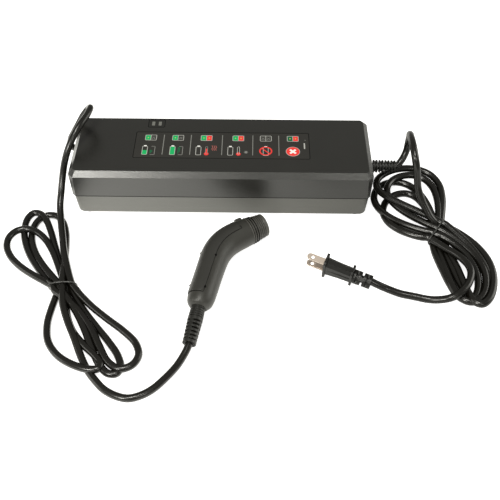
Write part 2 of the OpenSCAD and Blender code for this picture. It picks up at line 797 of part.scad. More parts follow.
module dc_cord_tie() color([0.1, 0.1, 0.1]) translate(dc_move)
    tie_band(dc_tie_at, dc_tie_turn, dc_tie_wide, dc_hank_high, 0);

// outer form of a hank, with a seat for its tie
module mains_cord_hank() color([0.05, 0.05, 0.05]) translate(mains_move) difference() {
    reach = [cos(mains_tie_turn), sin(mains_tie_turn)];
    waist = mains_tie_wide / 2 - weld;
    linear_extrude(mains_hank_high - weld) {
        taper_slot(mains_tie_at - waist_step * reach, mains_tie_at + waist_step * reach, waist, waist);
        taper_slot(mains_tie_at + waist_step * reach, mains_loops_at, waist, mains_loops_r);
        taper_slot(mains_tie_at - waist_step * reach, mains_lobes_at, waist, mains_lobes_r);
    }
    tie_band(mains_tie_at, mains_tie_turn, mains_tie_wide, mains_hank_high, tie_gap);
}

module dc_cord_hank() color([0.05, 0.05, 0.05]) translate(dc_move) difference() {
    reach = [cos(dc_tie_turn), sin(dc_tie_turn)];
    waist = dc_tie_wide / 2 - weld;
    linear_extrude(dc_hank_high - weld) {
        taper_slot(dc_tie_at - waist_step * reach, dc_tie_at + waist_step * reach, waist, waist);
        taper_slot(dc_tie_at + waist_step * reach, dc_loops_at, waist, dc_loops_r);
        taper_slot(dc_tie_at - waist_step * reach, dc_lobes_at, waist, dc_lobes_r);
        taper_slot(dc_tie_at - waist_step * reach, dc_far_lobes_at, waist, dc_far_lobes_r);
    }
    tie_band(dc_tie_at, dc_tie_turn, dc_tie_wide, dc_hank_high, tie_gap);
}

// turns the plug from lying along X into its place on the ground
module placed_plug() {
    translate(plug_at + mains_move) rotate([0, 0, plug_yaw]) rotate([0, plug_pitch, 0])
        rotate([plug_lean, 0, 0]) children();
}

// plate across the axis of the plug, with round corners
module plug_plate(x, wide, high, thick) {
    translate([x, 0, 0]) rotate([90, 0, 90]) linear_extrude(thick) rounded(wide, high, plug_corner_r);
}

// octagon across the axis of the plug
function plug_section(x, wide, high) = [for (q = cut_ring(wide, high, wide * 0.28, x)) [q[2], q[0], q[1]]];

module plug_body() color([0.08, 0.08, 0.08]) placed_plug() difference() {
    union() {
        plug_plate(0, plug_flange_wide, plug_flange_high, plug_flange_thick);
        loft([plug_section(weld, plug_grip_wide + 1, plug_grip_high),
            plug_section(plug_len / 2, plug_grip_wide, plug_grip_high - 2.5),
            plug_section(plug_len - weld, plug_grip_wide, plug_grip_high - 4)]);
        plug_plate(plug_len - plug_flange_thick, plug_rear_wide, plug_rear_high,
            plug_flange_thick);
        // ridge along the grip
        translate([1, -plug_grip_wide / 2 - 0.4, -plug_ridge / 2])
            cube([plug_len - 2, plug_grip_wide + 0.8, plug_ridge]);
        // sleeve with two rings and an end collar
        rod_x([plug_len - 1, 0, 0], plug_core_r, plug_sleeve_len + 1);
        for (k = [0, 1])
            rod_x([plug_len + plug_ring_from + plug_ring_pitch * k, 0, 0], plug_ring_r, plug_ring_thick);
        rod_x([plug_len + plug_sleeve_len - plug_collar_len, 0, 0], plug_core_r + 1, plug_collar_len);
        for (a = [0, 90])
            rotate([a, 0, 0]) translate([plug_len, -bridge_wide / 2, -plug_ring_r + bridge_in])
                cube([plug_sleeve_len - plug_collar_len + weld, bridge_wide,
                    2 * plug_ring_r - 2 * bridge_in]);
    }
    // slots that hold the blades
    for (s = [-1, 1])
        translate([-1, -blade_wide / 2 - thread_gap, s * blade_pitch / 2 - blade_thick / 2 - thread_gap])
            cube([blade_root + 1.5, blade_wide + 2 * thread_gap, blade_thick + 2 * thread_gap]);
}

// blade with a round tip and a hole
module plug_blade(side) color([0.75, 0.68, 0.6]) placed_plug()
    translate([0, 0, side * blade_pitch / 2 - blade_thick / 2])
        linear_extrude(blade_thick)
            difference() {
                union() {
                    translate([-blade_len + blade_wide / 2, -blade_wide / 2])
                        square([blade_len + blade_root - blade_wide / 2, blade_wide]);
                    translate([-blade_len + blade_wide / 2, 0]) circle(r = blade_wide / 2);
                }
                translate([-blade_hole_at, 0]) circle(r = blade_hole_d / 2);
            }

module plug_blade_upper() plug_blade(1);

module plug_blade_lower() plug_blade(-1);

// turns a part from +Z, with its root at the origin, to lie between two points
module between(a, b) {
    d = b - a;
    translate(a) rotate([0, acos(d[2] / norm(d)), atan2(d[1], d[0])]) children();
}

module connector_strain_relief() color([0.06, 0.06, 0.06])
    translate(dc_move) between(relief_top, relief_end) {
        fine = connector_sleeve_len / 3;
        ribs(dc_d / 2 + sleeve_skin, relief_top_r, relief_top_r - 0.4, fine, 5, 1.4);
        translate([0, 0, fine - 0.1])
            ribs(dc_d / 2 + sleeve_skin, relief_top_r - 0.4, relief_end_r,
                connector_sleeve_len - fine - 2.4, 6, 1.5);
        translate([0, 0, connector_sleeve_len - 3]) cylinder(r = relief_end_r + 0.5, h = 3);
    }

// frame of the handle at one station: forward, sideways, up
function station(i) = [for (k = [0:2]) handle_stations[i][k]];
function stations() = [for (i = [0:len(handle_stations) - 1]) station(i)];
function across(i) = unit(cross([0, 0, 1], i == 0 ? -[cos(collar_yaw), sin(collar_yaw), 0]
    : heading(stations(), i)));
function over(i) = cross(i == 0 ? -[cos(collar_yaw), sin(collar_yaw), 0]
    : heading(stations(), i), across(i));

// point on the handle's skin at one of its sides, moved outwards by a distance
function skin_point(i, k, out) = let (a = 360 * k / handle_sides)
    station(i) + across(i) * (handle_stations[i][3] + out) * cos(a)
    + over(i) * (handle_stations[i][4] + out) * sin(a);

module connector_handle() color([0.2, 0.2, 0.2]) {
    translate(dc_move) skin([for (i = [0:len(handle_stations) - 1])
        [for (k = [0:handle_sides - 1]) skin_point(i, k, 0)]]);
    // small lug beside the collar
    placed_collar() translate([-lug_up, lug_out, -lug_len - insert_gap])
        cylinder(r = lug_r, h = lug_len);
}

// strip that lies on the skin of the handle, with narrow ends
module connector_grip_inlay() color([0.12, 0.12, 0.12]) translate(dc_move)
    skin([for (i = [1:9]) let (in = i == 1 || i == 9 ? 1 : 0,
            first = inlay_first_side + in, last = inlay_last_side - in)
        concat([for (k = [0:6])
                skin_point(i, first + (last - first) * k / 6, inlay_gap + inlay_thick)],
            [for (k = [6:-1:0]) skin_point(i, first + (last - first) * k / 6, inlay_gap)])]);

// turns a part from +Z to the axis of the collar
module placed_collar() {
    translate(collar_at + dc_move) rotate([0, 0, collar_yaw]) rotate([0, 90, 0]) children();
}

module connector_collar() color([0.18, 0.18, 0.18]) placed_collar() difference() {
    rise = collar_len - collar_plain - 2;
    pitch = rise / collar_ring_count;
    rotate_extrude()
        polygon(concat([[0, thread_gap], [collar_base_r, thread_gap], [collar_base_r, 2]],
            [for (k = [0:collar_ring_count - 1], j = [0:3])
                let (f = (k + [0, 0.1, 0.55, 0.65][j]) / collar_ring_count,
                    r = collar_base_r - 0.5 + (collar_tip_r - collar_base_r + 0.5) * f)
                [r - (j == 0 || j == 3 ? ring_high : 0), 2 + f * rise]],
            [[collar_tip_r, collar_len - collar_plain], [collar_tip_r, collar_len - 0.6],
                [collar_tip_r - 0.6, collar_len], [0, collar_len]]));
    translate([0, 0, collar_len - insulator_deep - insert_gap])
        cylinder(r = insulator_r + insert_gap, h = insulator_deep + 1);
}

// does the same at each contact socket
module at_contacts() {
    for (k = [0:2]) rotate([0, 0, 120 * k]) translate([contact_ring_r, 0, 0]) children();
}

module connector_insulator() color([0.1, 0.1, 0.1]) placed_collar()
    translate([0, 0, collar_len - insulator_deep]) difference() {
        cylinder(r = insulator_r, h = insulator_deep - 0.6);
        at_contacts() translate([0, 0, 1]) cylinder(r = contact_r + thread_gap, h = insulator_deep);
    }

module connector_contacts() color([0.8, 0.68, 0.35]) placed_collar()
    translate([0, 0, collar_len - insulator_deep + 1]) at_contacts()
        difference() {
            cylinder(r = contact_r, h = insulator_deep - 2.2);
            translate([0, 0, 1]) cylinder(r = contact_r - 0.6, h = insulator_deep);
        }

module circuit_board() color([0.1, 0.3, 0.15])
    translate([0, 0, board_z]) linear_extrude(board_thick) difference() {
        square([board_len, board_dep], center = true);
        for (sx = [-1, 1], sy = [-1, 1])
            translate([sx * post_x, sy * post_y]) circle(r = board_screw_r + hole_gap);
    }

module board_screws() color([0.7, 0.7, 0.7]) at_corners(post_x, post_y) {
    translate([0, 0, floor_z + 1]) cylinder(r = board_screw_r, h = board_top - floor_z - weld);
    translate([0, 0, board_top]) cylinder(r = board_screw_head_r, h = board_screw_head_high);
}

module insulating_sheet() color([0.85, 0.85, 0.8])
    translate([0, 0, floor_z]) linear_extrude(sheet_thick) difference() {
        square([board_len, board_dep - 2], center = true);
        for (sx = [-1, 1], sy = [-1, 1])
            translate([sx * post_x, sy * post_y]) circle(r = post_r + hole_gap);
    }

// block standing on the board, given by the middle of its foot and its sizes
module on_board(place, x, y, z) {
    translate([place[0] - x / 2, place[1] - y / 2, board_top]) cube([x, y, z]);
}

// can standing on the board, with a rim round its top
module can(place, r, z) {
    rim = 1.2;
    dip = 0.4;
    translate([place[0], place[1], board_top]) difference() {
        cylinder(r = r, h = z);
        translate([0, 0, z - dip]) cylinder(r = r - rim, h = 2 * dip);
    }
}

// plate with five fins behind it
module heatsink(place, l, z) {
    on_board(place, l, sink_thick, z);
    for (k = [-2:2])
        on_board([place[0] + k * (l - 2 * fin_in) / 4, place[1] + (sink_thick + fin_deep) / 2 - weld],
            fin_thick, fin_deep, z);
}

// two bodies clamped to the front of a heatsink, with their feet off the board
module clamped(place, out, x, y, z, lift) {
    for (s = [-1, 1])
        translate([place[0] + s * out - x / 2, place[1] - sink_thick / 2 - y, board_top + lift])
            cube([x, y, z]);
}

module fuse() color([0.8, 0.8, 0.75]) {
    clip_out = fuse_len / 2 - 2 * fuse_clip_thick;
    for (s = [-1, 1])
        on_board([fuse_at[0], fuse_at[1] + s * clip_out], 2 * fuse_r, fuse_clip_thick, fuse_clip_high);
    translate([fuse_at[0], fuse_at[1] - fuse_len / 2, board_top + fuse_lift]) rotate([-90, 0, 0])
        cylinder(r = fuse_r, h = fuse_len);
}

// ring standing on edge in a foot
module emi_choke() color([0.65, 0.35, 0.15]) {
    translate([choke_at[0], choke_at[1], board_top + choke_r + sink]) rotate([0, 90, 0])
        rotate_extrude() translate([choke_r - choke_wire_r, 0]) circle(r = choke_wire_r, $fn = 24);
    on_board(choke_at, 2 * choke_wire_r, choke_foot_long, choke_foot_high);
}

module x_capacitor() color([0.85, 0.75, 0.2])
    on_board(x_cap_at, x_cap_thick, x_cap_long, x_cap_high);

module bridge_rectifier() color([0.12, 0.12, 0.12])
    on_board(bridge_at, bridge_len, bridge_thick, bridge_high);

module bulk_capacitor_front() color([0.15, 0.2, 0.35]) can(bulk_front_at, bulk_r, bulk_high);

module bulk_capacitor_back() color([0.15, 0.2, 0.35]) can(bulk_back_at, bulk_r, bulk_high);

module primary_heatsink() color([0.7, 0.7, 0.72])
    heatsink(primary_sink_at, primary_sink_len, primary_sink_high);

module switching_transistors() color([0.1, 0.1, 0.1])
    clamped(primary_sink_at, transistor_out, transistor_wide, transistor_thick, transistor_high,
        transistor_lift);

// core with a middle leg between two openings
module transformer_core() color([0.25, 0.25, 0.27])
    translate([transformer_at[0], transformer_at[1], board_top + core_lift]) difference() {
        opening = core_len / 2 - core_side - core_centre / 2;
        translate([-core_len / 2, -core_dep / 2, 0]) cube([core_len, core_dep, core_high]);
        for (s = [-1, 1])
            translate([s * (core_centre + opening) / 2 - opening / 2, -core_dep, core_yoke])
                cube([opening, 2 * core_dep, core_high - 2 * core_yoke]);
    }

module transformer_winding() color([0.8, 0.7, 0.2])
    translate([transformer_at[0], transformer_at[1], board_top]) difference() {
        l = core_len - 2 * core_side - 2 * winding_gap;
        z = core_lift + core_yoke + winding_gap;
        high = core_high - 2 * core_yoke - 2 * winding_gap;
        union() {
            translate([-l / 2, -winding_dep / 2, z]) cube([l, winding_dep, high]);
            // pin rails that stand on the board
            for (s = [-1, 1])
                translate([-rail_len / 2, s * (winding_dep - rail_dep) / 2 - rail_dep / 2, 0])
                    cube([rail_len, rail_dep, z + weld]);
        }
        translate([-core_centre / 2 - winding_gap, -core_dep / 2 - winding_gap, z - 1])
            cube([core_centre + 2 * winding_gap, core_dep + 2 * winding_gap, high + 2]);
    }

module secondary_heatsink() color([0.7, 0.7, 0.72])
    heatsink(secondary_sink_at, secondary_sink_len, secondary_sink_high);

module output_diodes() color([0.1, 0.1, 0.1])
    clamped(secondary_sink_at, diode_out, diode_wide, diode_thick, diode_high, diode_lift);

module output_inductor() color([0.7, 0.4, 0.15])
    translate([inductor_at[0], inductor_at[1], board_top + inductor_wire_r])
        rotate_extrude() translate([inductor_r - inductor_wire_r, 0])
            circle(r = inductor_wire_r, $fn = 24);

module output_capacitors() color([0.12, 0.12, 0.12])
    for (k = [0:2]) can(out_cap_at + [0, out_cap_pitch * k], out_cap_r, out_cap_high);

module relay() color([0.15, 0.25, 0.6]) on_board(relay_at, relay_len, relay_dep, relay_high);

module control_chip() color([0.1, 0.1, 0.1]) on_board(chip_at, chip_len, chip_dep, chip_high);

module optocoupler() color([0.9, 0.9, 0.88]) on_board(opto_at, opto_len, opto_dep, opto_high);

module indicator_board() color([0.1, 0.3, 0.15])
    translate([window_x, window_y - lamp_board_back, ceiling_z - lamp_board_drop - board_thick])
        linear_extrude(board_thick) square([lamp_board_len, lamp_board_dep], center = true);

module led_lamps() color([0.8, 0.85, 0.8])
    for (s = [-1, 1])
        translate([window_x + s * lens_pitch / 2, window_y, ceiling_z - lamp_board_drop])
            cylinder(r = lamp_r, h = lamp_board_drop + wall - lens_high - 1);

module mains_inner_wires() color([0.3, 0.2, 0.12])
    for (s = [-1, 1])
        cord([[mains_wall_x - wall - 2.6, mains_exit_y + 1.8 * s, parting_z],
            [mains_wall_x - wall - 8, mains_exit_y + 1.8 * s, parting_z],
            [mains_wall_x - 18, mains_exit_y + 4 * s, parting_z - 3],
            [mains_wall_x - 25, mains_exit_y + 5 * s, parting_z - 9],
            [mains_wall_x - 26, mains_exit_y + 5 * s, board_top + 2],
            [mains_wall_x - 26, mains_exit_y + 5 * s, board_top]], inner_wire_r, [0, 1, 0]);

module output_inner_wires() color([0.4, 0.1, 0.1])
    for (s = [-1, 1])
        cord([[dc_wall_x + wall + 2.6, dc_exit_y - 1.5 + 1.5 * s, parting_z],
            [dc_wall_x + wall + 5, dc_exit_y - 1.5 + 1.5 * s, parting_z],
            [dc_wall_x + 13, dc_exit_y - 6 + 3 * s, parting_z + 0.5],
            [dc_wall_x + 20, dc_exit_y - 12 + 4 * s, parting_z - 2],
            [dc_wall_x + 28, dc_exit_y - 15 + 3 * s, parting_z - 9],
            [dc_wall_x + 29, dc_exit_y - 16 + 3 * s, board_top + 2],
            [dc_wall_x + 29, dc_exit_y - 16 + 3 * s, board_top]], inner_wire_r, [0, 1, 0]);

upper_housing();
lower_housing();
legend_panel();
led_window();
light_pipe_left();
light_pipe_right();
housing_screws();
foot_front_left();
foot_front_right();
foot_back_left();
foot_back_right();
mains_strain_relief();
mains_cord_lead();
mains_cord_hank();
mains_cord_tail();
mains_cord_tie();
plug_body();
plug_blade_upper();
plug_blade_lower();
dc_strain_relief();
dc_cord_lead();
dc_cord_hank();
dc_cord_tail();
dc_cord_tie();
connector_strain_relief();
connector_handle();
connector_grip_inlay();
connector_collar();
connector_insulator();
connector_contacts();
circuit_board();
board_screws();
insulating_sheet();
fuse();
emi_choke();
x_capacitor();
bridge_rectifier();
bulk_capacitor_front();
bulk_capacitor_back();
primary_heatsink();
switching_transistors();
transformer_core();
transformer_winding();
secondary_heatsink();
output_diodes();
output_inductor();
output_capacitors();
relay();
control_chip();
optocoupler();
indicator_board();
led_lamps();
mains_inner_wires();
output_inner_wires();
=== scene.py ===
# Looks of the cordless mower battery charger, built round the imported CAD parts.
import math

import bmesh
import bpy
from mathutils import Matrix, Vector, geometry


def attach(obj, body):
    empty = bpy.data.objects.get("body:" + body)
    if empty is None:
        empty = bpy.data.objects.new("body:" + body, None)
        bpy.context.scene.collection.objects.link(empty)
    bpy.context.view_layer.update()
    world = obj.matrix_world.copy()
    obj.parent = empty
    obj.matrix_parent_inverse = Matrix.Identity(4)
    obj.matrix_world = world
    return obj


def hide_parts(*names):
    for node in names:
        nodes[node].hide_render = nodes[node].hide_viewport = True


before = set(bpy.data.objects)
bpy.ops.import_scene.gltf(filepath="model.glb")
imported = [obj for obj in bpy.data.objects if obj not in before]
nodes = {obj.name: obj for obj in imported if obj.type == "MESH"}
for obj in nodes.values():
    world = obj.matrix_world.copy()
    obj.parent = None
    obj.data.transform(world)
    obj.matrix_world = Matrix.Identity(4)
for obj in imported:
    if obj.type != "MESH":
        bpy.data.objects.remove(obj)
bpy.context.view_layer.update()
scene = bpy.context.scene
mm = 0.001


def newObject(name, data, material=None):
    if material:
        data.materials.clear()
        data.materials.append(materials[material])
    o = bpy.data.objects.new(name, data)
    scene.collection.objects.link(o)
    return o


# The camera stands in front of the charger and looks down on it.
camera = {"place": (0.03297, -0.55926, 0.53825), "down": 48.75, "yaw": -0.55, "roll": 0.18, "lens": 54,
          "sensor": 36, "clip": (0.01, 30)}


def makeCamera(v):
    e, y, r = math.radians(v["down"]), math.radians(v["yaw"]), math.radians(v["roll"])
    forward = Vector((math.sin(y) * math.cos(e), math.cos(y) * math.cos(e), -math.sin(e)))
    right = Vector((math.cos(y), -math.sin(y), 0))
    up = right.cross(forward)
    right, up = right * math.cos(r) + up * math.sin(r), up * math.cos(r) - right * math.sin(r)
    data = bpy.data.cameras.new("camera")
    data.lens = v["lens"]
    data.sensor_width = v["sensor"]
    data.clip_start, data.clip_end = v["clip"]
    o = newObject("camera", data)
    turned = Matrix((right, up, -forward)).transposed().to_4x4()
    o.matrix_world = Matrix.Translation(v["place"]) @ turned
    scene.camera = o


makeCamera(camera)
scene.view_settings.view_transform = "Standard"
print("camera made")


# Routes of the cords. Lengths in the lists are millimetres, as in the CAD source.
def smoothLine(points, parts=8):
    points = [Vector(p) for p in points]
    points = [points[0] * 2 - points[1]] + points + [points[-1] * 2 - points[-2]]
    out = []
    for p0, p1, p2, p3 in zip(points, points[1:], points[2:], points[3:]):
        # the square root of each distance keeps near points from making loops
        d0, d1, d2 = [math.sqrt((b - a).length) for a, b in ((p0, p1), (p1, p2), (p2, p3))]
        m1 = d1 * ((p1 - p0) / d0 - (p2 - p0) / (d0 + d1) + (p2 - p1) / d1)
        m2 = d1 * ((p2 - p1) / d1 - (p3 - p1) / (d1 + d2) + (p3 - p2) / d2)
        for j in range(parts):
            t = j / parts
            out.append(p1 * (2 * t ** 3 - 3 * t ** 2 + 1) + m1 * (t ** 3 - 2 * t ** 2 + t)
                       + p2 * (3 * t ** 2 - 2 * t ** 3) + m2 * (t ** 3 - t ** 2))
    out.append(points[-2])
    return out


def lineLength(points):
    return sum((b - a).length for a, b in zip(points, points[1:]))


# One turn of a hank: from a place at the tie round the tip and back to the next place.
def hankTurn(start, end, hand, tip, width, bow, narrow, tipZ, steps=17):
    start, end = Vector(start), Vector(end)
    middle = (start + end) / 2
    reach = Vector((tip[0] - middle.x, tip[1] - middle.y, 0))
    along, length = reach.normalized(), reach.length
    side = Vector((-along.y, along.x, 0))
    # greatest width of the plain curve, looked for in steps of a hundredth
    widest = max(math.sin(k / 100) * math.cos(k / 200) ** narrow for k in range(1, 314))
    out = []
    for i in range(steps):
        t = math.pi - 2 * math.pi * i / (steps - 1)
        f = (1 + math.cos(t)) / 2
        near = (1 - f) ** 2
        fixed = start if t > 0 else end
        base = middle.lerp(fixed, near)
        off = hand * width / 2 / widest * math.sin(t) * abs(math.cos(t / 2)) ** narrow
        p = base + along * length * f + side * (off + bow * math.sin(math.pi * f))
        p.z = tipZ * f + fixed.z * (1 - f)
        out.append(p)
    return out


# Directions at a tie: along the reach of the loops, and across it.
def tieFrame(tie):
    turn = math.radians(tie["turn"])
    along = Vector((math.cos(turn), math.sin(turn), 0))
    return Vector((*tie["at"], 0)), along, Vector((-along.y, along.x, 0))


# Places where the strands pass through a tie: offset across it, height, and slant.
def tiePlaces(tie, forwards):
    at, along, side = tieFrame(tie)
    return [at + side * (off + slant * forwards) + along * forwards + Vector((0, 0, z))
            for off, z, slant in tie["strands"]]


# Each turn has its tip, width, bow to the side, narrowing towards the tie and height at the tip.
outputCord = {
    "diameter": 6.7,
    "loopHand": 1,
    "lead": [(-151, 27, 26), (-153.6, 27, 26.5), (-156, 26.8, 29.2), (-156.4, 26.4, 34),
             (-154.5, 26, 40.5), (-150.5, 26, 47.5), (-145.5, 27.5, 55.5), (-139.5, 31, 64.5),
             (-133, 33, 72.5), (-129.5, 28, 77.5), (-131, 16, 78), (-136.5, 3, 75.5), (-142.5, -8, 69),
             (-147.5, -16, 60), (-151.5, -22, 49), (-154, -29, 38), (-155.5, -38, 28), (-156, -50, 20),
             (-153.5, -65, 14.5), (-149, -84, 12), (-143, -107, 12)],
    "tie": {"at": (-140, -139), "turn": 118, "hold": 3,
            "strands": [(-7.8, 8, 0), (8.2, 8, 0), (-2.6, 3, 0), (7.2, 3, 0), (-6, 3, 0), (3, 8, 0),
                        (-1, 9, 0)]},
    "turns": [((-69, -221), 28, 3, 4.4, 5), ((-195, -76), 35, 1, 1.3, 11),
              ((-96, -225), 22, -17, 1.2, 6), ((-184, -49), 24, 5, 1.3, 8),
              ((-81, -228), 17, 1, 4, 3.4), ((-171, -49), 32, 3, 1.3, 5)],
    "tail": [(-136, -160, 9), (-129, -178, 8), (-121, -194, 6.5), (-113, -211, 4), (-105, -225, 2.8),
             (-97, -235, 2.8), (-89, -243, 2.8), (-78, -249, 2.8), (-68, -251, 2.8), (-58, -248, 2.8),
             (-49, -242, 2.8), (-40, -232, 2.8), (-32, -221, 3.2), (-26, -210, 4.8), (-22.3, -201, 6.8),
             (-19, -183, 9.5), (-16, -166, 12), (-12, -147, 13.2), (-6, -119, 13.5), (1, -98, 13.5),
             (12, -85.5, 13.5), (22, -78.5, 13.5)],
}
mainsCord = {
    "diameter": 7.0,
    "loopHand": -1,
    "lead": [(172, 4, 26), (175, 4.5, 26.5), (180, 9, 30), (184, 14, 37), (185, 17, 46), (184, 13, 58),
             (182, 5, 67), (181, -7, 72), (181, -20, 73), (182, -30, 69), (184, -35, 61), (186, -38, 51),
             (188, -42, 40), (192, -47, 31), (197, -53, 23), (204, -60, 15)],
    "tie": {"at": (207, -70), "turn": 142, "hold": 3,
            "strands": [(-12.5, 9, -0.5), (-12, 3.5, -1.2), (-9.6, 14, 0.1), (-6, 3.5, -1.2),
                        (-3.2, 11, 0.1), (-1, 3.5, -1.2), (3.8, 10, 0.1), (4, 3.5, -1.2), (11, 9, 0.1)]},
    "turns": [((235, -155), 30, 10, 0.3, 8), ((166, 7), 60, -10, 1.2, 14),
              ((238, -149), 28, 4, 1.0, 4), ((183, 7), 49, 2, 1.1, 10),
              ((229, -151), 33, 6.5, 0.8, 6), ((165, 0), 49, 2, 0.9, 5),
              ((226, -148), 28, 5.5, 0.45, 4), ((177, -13), 44, 6, 0.5, 3.4)],
    "tail": [(212, -91, 10), (219, -98, 11), (225, -106, 12), (229, -114, 12.5), (230, -122, 12.5),
             (227.5, -131, 12.5), (222.5, -139.5, 12.5), (215.5, -146.5, 12), (207.5, -150, 10),
             (199, -149.5, 6.5), (190, -147.5, 4), (177, -144, 3.3), (165, -141, 3.6), (153, -137, 5.5),
             (144, -135, 9), (137.5, -132.8, 11.3)],
}


def cordPoints(v):
    hold = v["tie"]["hold"]
    upper, lower = tiePlaces(v["tie"], hold), tiePlaces(v["tie"], -hold)
    points = [Vector(p) for p in v["lead"]]
    for i, turn in enumerate(v["turns"]):
        # every other turn reaches to the front and leaves from that side of the tie
        ends, hand = (lower, 1) if i % 2 == 0 else (upper, v["loopHand"])
        points += hankTurn(ends[i], ends[i + 1], hand, *turn)
    points += [Vector(p) for p in v["tail"]]
    # no place of the line is lower than a cord that rests on the floor
    rest = v["diameter"] / 2
    return [Vector((p.x, p.y, max(p.z, rest))) * mm for p in smoothLine(points)]


def makeCord(name, v):
    points = cordPoints(v)
    data = bpy.data.curves.new(name, "CURVE")
    data.dimensions = "3D"
    data.bevel_depth = v["diameter"] / 2 * mm
    data.bevel_resolution = 5
    data.use_fill_caps = True
    line = data.splines.new("POLY")
    line.points.add(len(points) - 1)
    for target, p in zip(line.points, points):
        target.co = (*p, 1)
    line.use_smooth = True
    return newObject(name, data), points


mainsCable, mainsLine = makeCord("mainsCable", mainsCord)
outputCable, outputLine = makeCord("outputCable", outputCord)
print("cords made", round(lineLength(mainsLine), 3), round(lineLength(outputLine), 3))


def setInputs(node, values):
    for label, value in values.items():
        node.inputs[label].default_value = value
    return node


# Adds a shader node; an input with a space in its name is given with an underscore.
def addNode(tree, kind, **values):
    node = tree.nodes.new("ShaderNode" + kind)
    return setInputs(node, {label.replace("_", " "): value for label, value in values.items()})


def wire(a, output, b, label):
    a.id_data.links.new(a.outputs[output], b.inputs[label])


def addSockets(tree, way, kind, *labels):
    for label in labels:
        tree.interface.new_socket(label, in_out=way, socket_type="NodeSocket" + kind)


grainLook = {"fineDetail": 2, "cloudScale": 28, "cloudDetail": 4, "specks": (0.62, 0.72), "depth": 0.0002}


# Fine moulded grain, a shader group for every material: a bumped normal, a slow cloud and pale specks.
def makeGrain(v):
    group = bpy.data.node_groups.new("mouldedGrain", "ShaderNodeTree")
    addSockets(group, "INPUT", "Float", "Scale", "Bump")
    addSockets(group, "OUTPUT", "Vector", "Normal")
    addSockets(group, "OUTPUT", "Float", "Cloud", "Specks")
    given, out = group.nodes.new("NodeGroupInput"), group.nodes.new("NodeGroupOutput")
    place = addNode(group, "TexCoord")
    fine = addNode(group, "TexNoise", Detail=v["fineDetail"])
    slow = addNode(group, "TexNoise", Scale=v["cloudScale"], Detail=v["cloudDetail"])
    specks = addNode(group, "MapRange", From_Min=v["specks"][0], From_Max=v["specks"][1])
    bump = addNode(group, "Bump", Distance=v["depth"])
    wire(place, "Object", fine, "Vector")
    wire(place, "Object", slow, "Vector")
    wire(given, "Scale", fine, "Scale")
    wire(given, "Bump", bump, "Strength")
    wire(fine, "Fac", bump, "Height")
    wire(fine, "Fac", specks, "Value")
    wire(bump, "Normal", out, "Normal")
    wire(slow, "Fac", out, "Cloud")
    wire(specks, "Result", out, "Specks")
    return group


grain = makeGrain(grainLook)

# How far colour and roughness wander over a surface, and the colour of the pale specks.
wander = {"colour": 0.15, "gloss": 0.06, "speck": (0.2, 0.2, 0.19, 1)}

finishes = {
    "housing": {"colour": (0.009, 0.0088, 0.0074), "gloss": 0.3, "bump": 0.45, "scale": 1500,
                "specks": 0.08, "shine": 0.8},
    "housingLow": {"colour": (0.058, 0.058, 0.05), "gloss": 0.46, "bump": 0.4, "scale": 1500,
                   "specks": 0.1, "shine": 1.0},
    "legend": {"colour": (0.02, 0.019, 0.017), "gloss": 0.34, "bump": 0.05},
    "window": {"colour": (0.012, 0.012, 0.011), "gloss": 0.3},
    "lens": {"colour": (0.14, 0.14, 0.13), "gloss": 0.25},
    "footRubber": {"colour": (0.015, 0.015, 0.014), "gloss": 0.7},
    "sleeve": {"colour": (0.008, 0.0078, 0.0062), "gloss": 0.42, "bump": 0.05},
    "groove": {"colour": (0.001, 0.001, 0.001), "gloss": 0.8, "bump": 0.0, "shine": 0.08},
    "cordJacket": {"colour": (0.004, 0.0035, 0.0025), "gloss": 0.25, "bump": 0.05, "scale": 700},
    "wireTie": {"colour": (0.03, 0.03, 0.028), "gloss": 0.3},
    "plug": {"colour": (0.003, 0.0028, 0.002), "gloss": 0.4, "shine": 0.35},
    "blade": {"colour": (0.62, 0.53, 0.46), "gloss": 0.36, "metal": 1.0, "bump": 0.03},
    "handle": {"colour": (0.023, 0.0224, 0.019), "gloss": 0.42, "bump": 0.35, "scale": 1600},
    "inlay": {"colour": (0.021, 0.0204, 0.018), "gloss": 0.46, "bump": 0.3, "scale": 1600},
    "collar": {"colour": (0.06, 0.0585, 0.052), "gloss": 0.42, "bump": 0.2},
    "steel": {"colour": (0.55, 0.55, 0.56), "gloss": 0.3, "metal": 1.0},
    "contact": {"colour": (0.8, 0.6, 0.28), "gloss": 0.25, "metal": 1.0},
    "board": {"colour": (0.02, 0.14, 0.05)},
    "film": {"colour": (0.7, 0.7, 0.62), "gloss": 0.4},
    "ceramic": {"colour": (0.6, 0.58, 0.5), "gloss": 0.5},
    "copper": {"colour": (0.65, 0.25, 0.1), "metal": 0.6},
    "yellow": {"colour": (0.75, 0.52, 0.06), "gloss": 0.45},
    "epoxy": {"colour": (0.012, 0.012, 0.012), "gloss": 0.45},
    "canSleeve": {"colour": (0.02, 0.035, 0.12)},
    "aluminium": {"colour": (0.7, 0.7, 0.72), "metal": 1.0},
    "ferrite": {"colour": (0.06, 0.06, 0.065), "gloss": 0.6},
    "relayCase": {"colour": (0.03, 0.08, 0.35)},
    "whiteEpoxy": {"colour": (0.7, 0.7, 0.66), "gloss": 0.45},
    "lamp": {"colour": (0.6, 0.7, 0.55), "gloss": 0.2},
    "brownWire": {"colour": (0.14, 0.05, 0.02), "gloss": 0.4},
    "redWire": {"colour": (0.4, 0.02, 0.02), "gloss": 0.4},
}
inks = {
    "green": (0.0, 0.36, 0.1),
    "dimGreen": (0.002, 0.09, 0.035),
    "red": (0.72, 0.035, 0.03),
    "pink": (0.36, 0.1, 0.09),
    "paleGrey": (0.4, 0.4, 0.38),
    "midGrey": (0.2, 0.2, 0.19),
    "white": (0.8, 0.8, 0.78),
    "yellowPrint": (0.45, 0.5, 0.12),
}
for name, colour in inks.items():
    finishes[name] = {"colour": colour, "gloss": 0.5, "bump": 0.0}


